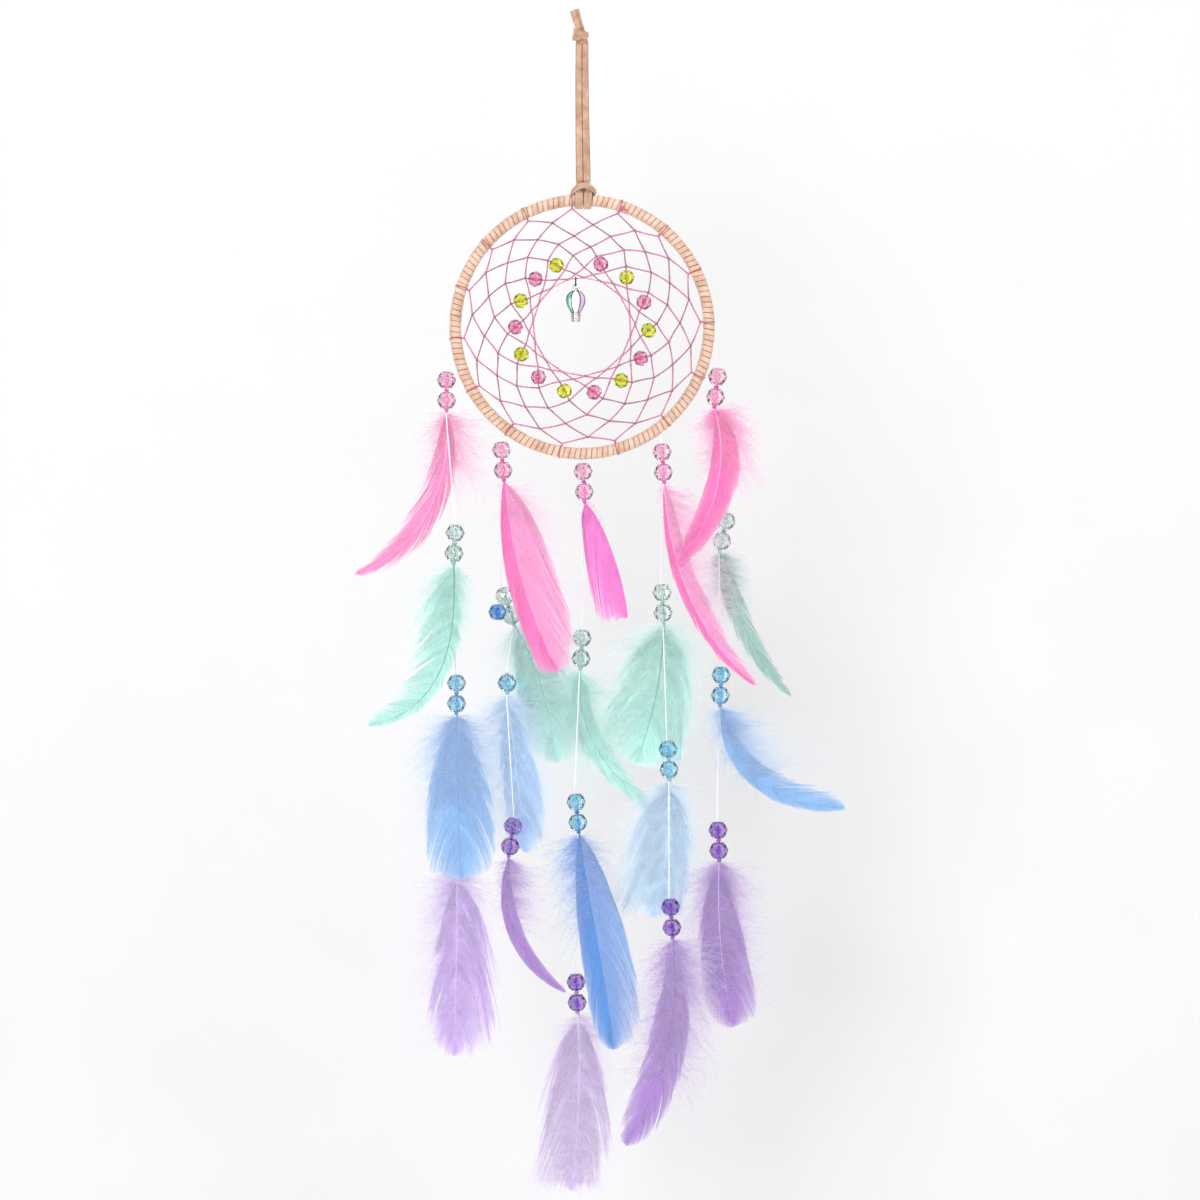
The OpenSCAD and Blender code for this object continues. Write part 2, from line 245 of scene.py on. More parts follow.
def smooth_line(points, steps):
    """A Catmull-Rom line through the points."""
    p = np.asarray(points, float)
    p = np.concatenate([[2 * p[0] - p[1]], p, [2 * p[-1] - p[-2]]])
    out = []
    for i in range(1, len(p) - 2):
        for k in range(steps):
            t = k / steps
            a, b, c, d = p[i - 1], p[i], p[i + 1], p[i + 2]
            out.append(0.5 * (2 * b + (c - a) * t + (2 * a - 5 * b + 4 * c - d) * t * t
                              + (3 * b - a - 3 * c + d) * t ** 3))
    out.append(p[-2])
    return np.array(out)


def travelled(line):
    """How far along a line each of its points is."""
    return np.concatenate([[0], np.cumsum(np.linalg.norm(np.diff(line, axis=0), axis=1))])


def spaced(line, step):
    line = np.asarray(line, float)
    along = travelled(line)
    at = np.linspace(0, along[-1], max(2, int(ceil(along[-1] / step)) + 1))
    return np.stack([np.interp(at, along, line[:, k]) for k in range(3)], 1)


def curve(route, step=0.8):
    return spaced(smooth_line(route, 6), step)


INSIDE_OUT = [0, 3, 2, 1]


def lump(shape, centre, radii, rings, sides, tint, rng, rough, axis=None):
    """A rounded lump, a little uneven, such as a knot."""
    points, tris = [], []
    for i in range(1, rings):
        lat = pi * i / rings
        for j in range(sides):
            lon = tau * j / sides
            wob = 1 + rng.uniform(-rough, rough)
            points.append([radii[0] * sin(lat) * cos(lon) * wob,
                           radii[1] * sin(lat) * sin(lon) * wob,
                           radii[2] * cos(lat) * wob])
    top, bottom = len(points), len(points) + 1
    points += [[0, 0, radii[2]], [0, 0, -radii[2]]]
    for j in range(sides):
        k = (j + 1) % sides
        tris.append((top, j, k))
        tris.append((bottom, (rings - 2) * sides + k, (rings - 2) * sides + j))
    points = np.array(points)
    if axis is not None:
        z = unit(np.asarray(axis, float))
        x = unit(np.cross((0, 1, 0), z))
        y = np.cross(z, x)
        points = points @ np.stack([x, y, z])
    shape.add(points + np.asarray(centre), tube_quads(rings - 1, sides)[:, INSIDE_OUT], tris, tint)


def srgb(*levels):
    """The linear colour of three levels from 0 to 255."""
    shares = [level / 255 for level in levels]
    return tuple(c / 12.92 if c <= 0.04045 else ((c + 0.055) / 1.055) ** 2.4 for c in shares)


# ---- materials
def put(n, socket, value):
    n.inputs[socket].default_value = value


def node(nt, kind):
    return nt.nodes.new("ShaderNode" + kind)


def link(nt, output, socket):
    nt.links.new(output, socket)


def new_material(name):
    m = bpy.data.materials.new(name)
    m.use_nodes = True
    nt = m.node_tree
    nt.nodes.clear()
    out = node(nt, "OutputMaterial")
    bsdf = node(nt, "BsdfPrincipled")
    link(nt, bsdf.outputs[0], out.inputs[0])
    return m, nt, bsdf, out


def mix_shaders(nt, share, first, second, out):
    """Ends a shader in a mix of two; share is a number or an output."""
    mix = node(nt, "MixShader")
    if isinstance(share, float):
        put(mix, 0, share)
    else:
        link(nt, share, mix.inputs[0])
    link(nt, first, mix.inputs[1])
    link(nt, second, mix.inputs[2])
    link(nt, mix.outputs[0], out.inputs[0])


def noise(nt, scale, detail=3.0, rough=0.55, stretch=None):
    n = node(nt, "TexNoise")
    put(n, "Scale", scale)
    put(n, "Detail", detail)
    put(n, "Roughness", rough)
    place = node(nt, "TexCoord").outputs["Object"]
    if stretch:
        mp = node(nt, "Mapping")
        put(mp, "Scale", stretch)
        link(nt, place, mp.inputs[0])
        place = mp.outputs[0]
    link(nt, place, n.inputs["Vector"])
    return n.outputs["Fac"]


def ramp(nt, fac, stops):
    r = node(nt, "ValToRGB")
    while len(r.color_ramp.elements) < len(stops):
        r.color_ramp.elements.new(0.5)
    for e, (at, colour) in zip(r.color_ramp.elements, stops):
        e.position = at
        e.color = (*colour, 1)
    link(nt, fac, r.inputs[0])
    return r.outputs[0]


def multiply(nt, a, b):
    m = node(nt, "Mix")
    m.data_type = "RGBA"
    m.blend_type = "MULTIPLY"
    put(m, 0, 1.0)
    link(nt, a, m.inputs[6])
    link(nt, b, m.inputs[7])
    return m.outputs[2]


def tint_of(nt):
    a = node(nt, "Attribute")
    a.attribute_name = "tint"
    return a.outputs["Color"]


def to_range(nt, fac, low, high):
    m = node(nt, "MapRange")
    put(m, "To Min", low)
    put(m, "To Max", high)
    link(nt, fac, m.inputs["Value"])
    return m.outputs[0]


def bump(nt, bsdf, height, strength, distance):
    b = node(nt, "Bump")
    put(b, "Strength", strength)
    put(b, "Distance", distance)
    link(nt, height, b.inputs["Height"])
    link(nt, b.outputs[0], bsdf.inputs["Normal"])
    return b.outputs[0]


def surface(nt, bsdf, colour, grain, rough, relief, strength, depth, sockets=()):
    """Fills in a shader: its colour, a range of roughness over a noise, bumps, and plain values."""
    link(nt, colour, bsdf.inputs["Base Color"])
    link(nt, to_range(nt, grain, *rough), bsdf.inputs["Roughness"])
    for socket, value in sockets:
        put(bsdf, socket, value)
    return bump(nt, bsdf, relief, strength, depth)


def suede(name, dark, mid, light):
    m, nt, p, _ = new_material(name)
    broad = ramp(nt, noise(nt, 160, 4, 0.6), [(0.3, dark), (0.5, mid), (0.72, light)])
    nap = ramp(nt, noise(nt, 2600, 2, 0.7), [(0.25, (0.80, 0.78, 0.76)), (0.6, WHITE)])
    colour = multiply(nt, multiply(nt, broad, nap), tint_of(nt))
    surface(nt, p, colour, noise(nt, 900, 2), (0.78, 0.98), noise(nt, 2200, 3, 0.7), 0.5, 0.0003,
            (("Sheen Weight", 0.35), ("Sheen Roughness", 0.5), ("Specular IOR Level", 0.2)))
    return m


def yarn(name, light, dark, rough=0.6, sheen=0.2):
    m, nt, p, _ = new_material(name)
    colour = multiply(nt, ramp(nt, noise(nt, 700), [(0.3, dark), (0.65, light)]), tint_of(nt))
    surface(nt, p, colour, noise(nt, 1500, 2), (rough - 0.12, rough + 0.12), noise(nt, 3000, 2, 0.6), 0.4,
            0.0001, (("Sheen Weight", sheen),))
    return m


# painted shade, as least level and share of the deep colour: at a bead's rim, in its darkest edge, on its
# facet lines
CRYSTAL_SHADE_TONES = ((0.4, 0.6), (0.1, 0.45), (0.4, 0.35))


def crystal(name, light, deep, lamp):
    """Clear faceted acrylic, tinted unevenly, with painted shade at its rim and on its facet lines; light
    from lamps gets through it.
    """
    m, nt, p, out = new_material(name)
    colour = ramp(nt, noise(nt, 190, 2), [(0.3, deep), (0.7, light)])
    # painted shade: darker where the surface turns away from the view, in place of dark surroundings
    # reflected at the rim
    facing = node(nt, "LayerWeight")
    put(facing, "Blend", 0.5)
    rim, shadow, line = (tuple(least + share * c for c in deep) for least, share in CRYSTAL_SHADE_TONES)
    rim_shade = ramp(nt, facing.outputs["Facing"], [(0.36, WHITE), (0.56, rim), (0.8, shadow)])
    # painted shade: dark lines along the edges of small cells, drawn as facet lines
    cells = node(nt, "TexVoronoi")
    cells.feature = "DISTANCE_TO_EDGE"
    put(cells, "Scale", 330)
    link(nt, node(nt, "TexCoord").outputs["Object"], cells.inputs["Vector"])
    facet_line_shade = ramp(nt, cells.outputs["Distance"], [(0.02, line), (0.09, WHITE)])
    link(nt, multiply(nt, multiply(nt, colour, rim_shade), facet_line_shade), p.inputs["Base Color"])
    link(nt, to_range(nt, noise(nt, 420), 0.0, 0.07), p.inputs["Roughness"])
    put(p, "Transmission Weight", 1.0)
    put(p, "IOR", 1.56)
    clear = node(nt, "BsdfTransparent")
    put(clear, 0, (*lamp, 1))
    path = node(nt, "LightPath")
    mix_shaders(nt, path.outputs["Is Shadow Ray"], p.outputs[0], clear.outputs[0], out)
    return m


def plumage(name, glow=0.42, rough=0.62):
    """Dyed feather: each point's dye from its tint, fine streaks, and light coming through."""
    m, nt, p, out = new_material(name)
    streak = ramp(nt, noise(nt, 900, 3, 0.6, (1, 1, 0.25)), [(0.3, (0.90, 0.90, 0.90)), (0.6, WHITE)])
    blotch = ramp(nt, noise(nt, 70, 2), [(0.3, (0.95, 0.95, 0.96)), (0.65, WHITE)])
    colour = multiply(nt, multiply(nt, tint_of(nt), streak), blotch)
    normal = surface(nt, p, colour, noise(nt, 600, 2), (rough - 0.1, rough + 0.15), noise(nt, 1400), 0.35,
                     0.0002, (("Sheen Weight", 0.25), ("Specular IOR Level", 0.3)))
    through = node(nt, "BsdfTranslucent")
    link(nt, colour, through.inputs["Color"])
    link(nt, normal, through.inputs["Normal"])
    mix_shaders(nt, glow, p.outputs[0], through.outputs[0], out)
    return m


def metal(name, light, dark):
    m, nt, p, _ = new_material(name)
    colour = multiply(nt, ramp(nt, noise(nt, 500), [(0.3, dark), (0.6, light)]), tint_of(nt))
    surface(nt, p, colour, noise(nt, 900), (0.16, 0.38), noise(nt, 700, 2), 0.2, 0.0001, (("Metallic", 1.0),))
    return m


def enamel(name):
    m, nt, p, _ = new_material(name)
    mottle = ramp(nt, noise(nt, 600), [(0.3, (0.86, 0.88, 0.88)), (0.6, WHITE)])
    colour = multiply(nt, tint_of(nt), mottle)
    surface(nt, p, colour, noise(nt, 800, 2), (0.12, 0.3), noise(nt, 500, 2), 0.15, 0.0001,
            (("Coat Weight", 0.6),))
    return m


LACE = suede("lace_suede_nap", srgb(168, 127, 103), srgb(191, 154, 129), srgb(208, 175, 153))
WRAP = suede("wrap_suede_nap", srgb(207, 163, 139), srgb(227, 190, 167), srgb(239, 208, 189))
WEB = yarn("web_thread_yarn", srgb(200, 140, 160), srgb(150, 104, 122))
NYLON = yarn("nylon_thread", srgb(252, 252, 252), srgb(226, 228, 234), 0.35, 0.1)
SILVER = metal("antique_silver", srgb(232, 230, 226), srgb(150, 148, 146))
ENAMEL = enamel("gore_enamel")
QUILL = plumage("quill_horn", 0.2, 0.4)
BEADS = {
    name: crystal(f"{name}_acrylic", srgb(*light), srgb(*deep), srgb(*lamp))
    for name, light, deep, lamp in (
        ("bead_pink", (255, 224, 238), (248, 190, 220), (255, 212, 232)),
        ("bead_green", (240, 248, 246), (206, 228, 222), (230, 248, 242)),
        ("bead_blue", (206, 238, 250), (146, 206, 232), (200, 234, 248)),
        ("bead_purple", (202, 168, 232), (154, 108, 204), (205, 175, 235)),
        ("bead_caught", (150, 200, 244), (96, 158, 226), (150, 200, 244)),
        ("web_bead_pink", (255, 200, 226), (240, 130, 184), (255, 200, 225)),
        ("web_bead_yellow", (246, 248, 110), (218, 230, 24), (248, 246, 130)),
    )
}
FEATHER = {tier: plumage(f"{tier}_feather_dye") for tier in TIERS}
DOWN = {tier: plumage(f"{tier}_down_dye", 0.62, 0.75) for tier in TIERS}

# ---- the strings' data, as in the part's source
STRING_ANGLES = (253, 217, 179.6, 143.4, 108)
# the upper bead's x and z from the hoop's centre, and the drop's lean
DROPS = (
    ((-81.5, -32, 0), (-76.4, -124, -3), (-75.5, -214.3, 0), (-75.2, -305.7, 0)),
    ((-48.4, -74.1, 4), (-46.6, -161.9, 18), (-45.1, -214.3, 0), (-41.5, -300.3, -8)),
    ((0.6, -87, 3), (0, -187.2, -3), (-3.6, -285.8, 5), (-3.6, -394.1, 3)),
    ((48.1, -75.3, 4), (48.1, -159.8, 3), (51.7, -254, 3), (53.2, -349, 4)),
    ((81.5, -30, -6), (86.6, -116.8, -12), (83.6, -209.4, -2), (81.8, -302.7, 2)),
)
# on the second string, the caught bead pushes the green pair back, and the blue drop has one bead
SINGLE = (1, 2)
PUSHED_BACK = {(1, 1): (4.2, 6.8)}


class Drop:
    """Drop t of string s: where its beads are, which way they point, and its body."""

    def __init__(self, s, t):
        x, z, lean = DROPS[s][t]
        y_upper, y_lower = PUSHED_BACK.get((s, t), (0, 0))
        a = radians(lean)
        self.axis = np.array([sin(a), 0, -cos(a)])
        self.across = np.array([cos(a), 0, sin(a)])
        self.upper = self.lower = np.array([x, y_upper, HOOP_Z + z])
        self.paired = (s, t) != SINGLE
        if self.paired:
            self.lower = self.upper + self.axis * PAIR_PITCH + np.array([0, y_lower - y_upper, 0])
            self.axis = unit(self.lower - self.upper)
        self.top = self.upper - self.axis * BEAD_EDGE
        self.bottom = self.lower + self.axis * BEAD_EDGE
        self.body = f"drop_{s + 1}_{TIERS[t]}"


# ---- cords: hanging lace and threads
STRANDS = (
    ("lace_strand_left", [(-1.9, 0, 0.6), (-2, 0, -20), (-1.9, 0, -42), (-1.7, 0, -62), (-1.5, 0, -82.8)]),
    ("lace_strand_right", [(1.9, 0, 0.6), (1.9, 0, -20), (2.1, 0, -42), (2.5, 0, -62), (2.9, 0, -82.8)]),
)
# painted shade along both edges of each hanging strand
EDGE_SHADE = (0.26, 0.17, 0.12)
section = flat_lace(STRAND_W, LACE_T)
at_edge = np.abs(section[:, 0]) > STRAND_W * 0.46
for k, (name, route) in enumerate(STRANDS):
    line = spaced(smooth_line(route, 12), 1.2)
    n = len(line)
    rng = np.random.default_rng(40 + k)
    lean = np.interp(np.arange(n), np.linspace(0, n - 1, 8), rng.uniform(-0.12, 0.12, 8))
    shape = Shape()
    sweep(shape, line, section, turn=lean, scale=np.linspace(1.01, 1.16 + 0.05 * k, n))
    tint = shape.tints[0].copy()
    tint[: n * len(section)] = np.where(np.tile(at_edge, n)[:, None], EDGE_SHADE, WHITE)
    shape.tints[0] = tint
    strand = piece(shape, name, LACE, None, ("lace_strands",) if k == 0 else (),
                   blend=("hanger", "hitch", (0, 0, 0), (0, 0, -0.083)))

THREAD_R = 0.4
THREAD_OFF = -0.45  # the thread's place across the bore, beside the quill
PLY_TURN = 0.9  # radians in each mm
for s in range(5):
    for t, tier in enumerate(TIERS):
        here = Drop(s, t)
        off = THREAD_OFF * here.across
        if t == 0:
            start = at_hoop(HOOP_R + THREAD_R + 0.15, STRING_ANGLES[s])
        else:
            above = Drop(s, t - 1)
            start = above.bottom + THREAD_OFF * above.across
        line = spaced([start, here.top + off, here.bottom + off], 1.0)
        shape = Shape()
        sweep(shape, line, plied(THREAD_R), turn=np.arange(len(line)) * PLY_TURN)
        if t == 0:
            piece(shape, f"thread_tie_{s + 1}", NYLON, here.body)
            continue
        cord = piece(shape, f"thread_{s + 1}_{tier}", NYLON, here.body,
                     (f"string_thread_{s + 1}",) if t == 1 else ())

# ---- hoop wrapping
# the mesh follows the helix of the lace, with close columns at each seam
TURNS = 145
COLUMNS = np.array([-1, -0.9, -0.76, -0.4, 0.0, 0.4, 0.72, 0.9])
SUNK, SEAM_DEPTH, CROWN = 0.10, 0.62, 0.10  # mm below the wrapping's radius: in all, at a seam, towards it
rng = np.random.default_rng(7)
lift = rng.uniform(-0.14, 0.06, TURNS)
slope = rng.uniform(-0.05, 0.22, TURNS)
shade = rng.uniform(0.90, 1.06, TURNS)
seam_shift = rng.uniform(-0.16, 0.16, TURNS)
# the least brightness that each turn's painted seam shade leaves
seam_dark = rng.uniform(0.03, 0.4, TURNS)
per, across = len(COLUMNS), 28
around = TURNS * per
turn = np.repeat(np.arange(TURNS), per)[:, None]
x = np.tile(COLUMNS, TURNS)[:, None]
phi = np.arange(across)[None] * tau / across
middle = (x + 1) / 2 + seam_shift[turn] * (1 - np.abs(x))
theta = (turn + middle - phi / tau) * tau / TURNS
edge = np.where(x <= -1, 1.0, np.abs(x) ** 10)
r = WRAP_R - SUNK + lift[turn] * (1 - edge) + slope[turn] * x * (1 - edge) - SEAM_DEPTH * edge - CROWN * x * x
r = np.broadcast_to(r, theta.shape)
ring = TUBE_R + r * np.cos(phi)
points = np.stack([ring * np.sin(theta), -r * np.sin(phi), HOOP_Z + ring * np.cos(theta)], -1).reshape(-1, 3)
# painted shade in the grooves between turns, deepest towards the front, where it is also warmed
seam_shade = np.where(x <= -1, 1.0, np.where(np.abs(x) > 0.85, 0.45, 0.0)) * (0.75 + 0.25 * np.sin(phi))
# painted shade on the hoop's inner side, up to 10% darker
inner = 0.5 - 0.5 * np.cos(phi)
# the painted shade of the seams and the inner side, times each turn's own random tone
dark = (1 - seam_shade * (1 - seam_dark[turn])) * (1 - 0.10 * inner) * shade[turn]
tint = dark[..., None] * np.array([1.0, 0.98, 0.96]) ** (4 * seam_shade)[..., None]
i, j = np.arange(around)[:, None], np.arange(across)[None]
next_i = (i + 1) % around
back = np.where(j == across - 1, -per, 0)
a, b = i * across + j, ((i + back) % around) * across + (j + 1) % across
c, d = ((next_i + back) % around) * across + (j + 1) % across, next_i * across + j
shape = Shape()
shape.add(points, np.stack([a, b, c, d], -1).reshape(-1, 4), tint=tint.reshape(-1, 3))
piece(shape, "hoop_wrap_turns", WRAP, "hoop", ("hoop_wrap",))

# ---- web, by the same rule as in the part's source
ANCHORS, PITCH, FIRST = 15, 24, -4
WEB_R = (HOOP_R - 2 * WRAP_R - 1.25, 66.4, 59, 53, 45, 35.6, 32, 29.6)
WEB_THREAD_R, INNER_THREAD_R = 0.55, 0.35


def near_top(a, centre, spread):
    off = ((a - centre + 540) % 360) - 180
    return exp(-((off / spread) ** 2))


def web_angle(row, u):
    a = FIRST + PITCH * u
    return a + 4.5 * cos(radians(a - 255)) - (6 * near_top(a, 25, 30) if row >= 4 else 0)


def web_node(row, i):
    a = web_angle(row, i + row / 2)
    share = 1 if 1 <= row <= 3 else 0.5 if row == 4 else 0
    return at_hoop(WEB_R[row] - share * 5 * near_top(a, 2, 16), a)


MAUVE, ROSE, PINK = (0.80, 0.72, 0.84), (1.12, 0.84, 1.02), (1.4, 0.92, 1.12)
MOST_PINK = 0.6  # the share of pink in the innermost rows
NEAR_CHARM = HOOP_Z + 24  # above this the innermost turn is thin enough for the charm's ring
WEB_PLY_TURN = 0.8
rng = np.random.default_rng(11)
shape = Shape()
last = len(WEB_R) - 1
for row in range(last):
    for i in range(ANCHORS):
        for k in (0, -1):
            a, b = web_node(row, i), web_node(row + 1, i + k)
            sag = unit(b - a)
            sag = np.array([-sag[2], 0, sag[0]]) * rng.uniform(-0.35, 0.35)
            t = np.linspace(0, 1, 6)[:, None]
            over = 0.25 * (1 if k else -1) * np.sin(t * pi)
            line = a + (b - a) * t + sag * 4 * t * (1 - t) - FRONT * over
            mix = np.clip((row - 3) / 4, 0, 1) * MOST_PINK
            base = np.array(ROSE if k else MAUVE) * (1 - mix) + np.array(PINK) * mix
            ends = np.array(PINK) if row == 0 else base
            sweep(shape, line, plied(WEB_THREAD_R, 6), turn=np.arange(6) * WEB_PLY_TURN,
                  tint=base * t + ends * (1 - t), caps=False)
for i in range(ANCHORS):
    a, b = web_node(last, i), web_node(last, i - 1)
    t = np.linspace(0, 1, 7)[:, None]
    thick = INNER_THREAD_R if (a + b)[2] / 2 > NEAR_CHARM else WEB_THREAD_R
    sweep(shape, a + (b - a) * t, plied(thick, 6), turn=np.arange(7) * WEB_PLY_TURN, tint=PINK,
          caps=False)
    for row in range(1, last + 1):
        tint = np.array(MAUVE) * (0.8 if row < 5 else 1.2)
        lump(shape, web_node(row, i), (0.85, 0.68, 0.85), 4, 6, tint, rng, 0.15)
piece(shape, "web_knotted_thread", WEB, "hoop", ("web_thread",))

ANCHOR = yarn("anchor_thread_yarn", srgb(240, 120, 168), srgb(214, 84, 138))
LOOP_TINT, LOOP_THREAD_R = (0.62, 0.70, 0.62), 0.17
LOOP_R = WRAP_R + 0.12
shape = Shape()
w = circle(24)
for i in range(ANCHORS):
    a = radians(web_angle(0, i))
    radial = np.array([sin(a), 0, cos(a)])
    ahead = np.array([cos(a), 0, -sin(a)])
    centre = at_hoop(TUBE_R, web_angle(0, i))
    for shift in (-0.25, 0.3):
        round_wrap = radial * np.cos(w)[:, None] + FRONT * np.sin(w)[:, None]
        line = centre + ahead * (shift + 0.5 * np.sin(w))[:, None] + LOOP_R * round_wrap
        sweep(shape, line, plied(LOOP_THREAD_R, 6), (0.3, -1, 0.2), turn=np.arange(24) * 0.7,
              tint=LOOP_TINT, closed=True, caps=False)
    lump(shape, web_node(0, i) + radial * 0.35, (0.8, 0.8, 0.8), 5, 8, (0.95, 0.95, 0.95), rng, 0.18)
piece(shape, "web_anchor_turns", ANCHOR, "hoop", ("web_anchor_loops",))

tie_low, tie_high = box_mm("web_tie_knot")
tie = (tie_low + tie_high) / 2
shape = Shape()
lump(shape, tie + (0, 0.5, 0), (1.15, 0.8, 1.0), 6, 10, (0.75, 0.62, 0.7), rng, 0.2)
for bend, end in (((-1.2, 0.2, -1.4), (-1.8, 0.5, -3.4)), ((1.3, 0.1, -0.9), (2.9, 0.4, -1.2))):
    line = smooth_line([tie + (0, 0.3, 0), tie + bend, tie + end], 5)
    sweep(shape, line, plied(0.3, 6), tint=(0.8, 0.7, 0.75))
piece(shape, "web_tie_off", ANCHOR, "hoop", ("web_tie_knot",))

# ---- CAD beads and wires that keep their shape
def dress(node, material, width=0.00012):
    """Gives a CAD node its material and welds it; bevels it too, unless the width is 0."""
    o = NODES[node]
    o.data.materials.clear()
    o.data.materials.append(material)
    weld = o.modifiers.new("weld", "WELD")
    weld.merge_threshold = 1e-6
    if width:
        bevel = o.modifiers.new("bevel", "BEVEL")
        bevel.width = width
        bevel.segments = 2
        bevel.limit_method = "ANGLE"
        bevel.angle_limit = radians(15)


for s in range(1, 6):
    for tier in TIERS:
        dress(f"{tier}_beads_{s}", BEADS[f"bead_{tier}"])
dress("blue_bead_caught", BEADS["bead_caught"])
dress("web_beads_pink", BEADS["web_bead_pink"])
dress("web_beads_yellow", BEADS["web_bead_yellow"])
dress("charm_ring", SILVER, 0)

WOOD, nt, p, _ = new_material("bare_ring_vine")
bark = ramp(nt, noise(nt, 300, 4, 0.6, (1, 1, 4)), [(0.3, srgb(120, 84, 50)), (0.7, srgb(186, 142, 94))])
surface(nt, p, bark, noise(nt, 500, 2), (0.6, 0.9), noise(nt, 400), 0.5, 0.0003)
NODES["hoop_ring"].data.materials.clear()
NODES["hoop_ring"].data.materials.append(WOOD)

# ---- feathers
# layer: the y a feather lies at. h1, h2, tip: its shaft's handles and end, x and z from the quill's exit.
# left, right: width, where it is widest, roundness of the end. firm: the barbs are loose below this share.
# ragged, split, lock: how uneven and how parted the tips are, and barbs in a lock. angle: the barbs' lean.
# down: fibres on each side, their lengths, how far up. pale: of the tips. bow, cup: of shaft and vane.
# shaft: its tone, darker below 0. rise: how unevenly locks lie. inner: how far inwards the down reaches.
LEAST_START = 0.01  # the share of the shaft where the lowest barbs and down begin
DOWN_REACH = 1.4
END_OVER = 2.0  # mm of vane past the shaft's end
BARB_PITCH = 0.62
USUAL = dict(firm=0.05, ragged=0.06, split=0.12, angle=20, lock=16, down=((200, 200), (14, 14), 0.35),
             pale=0.28, bow=1.0, cup=0.06, shaft=0.35, rise=0.35, inner=-0.9)


def feather(layer, h1, h2, tip, left, right, dye, dye_right=None, **own):
    f = SimpleNamespace(**{**USUAL, **own})
    f.layer, f.h1, f.h2, f.tip, f.left, f.right, f.dye = layer, h1, h2, tip, left, right, dye
    f.dye_right = dye_right or dye
    f.start = max(LEAST_START, 0.2 * f.firm)
    return f


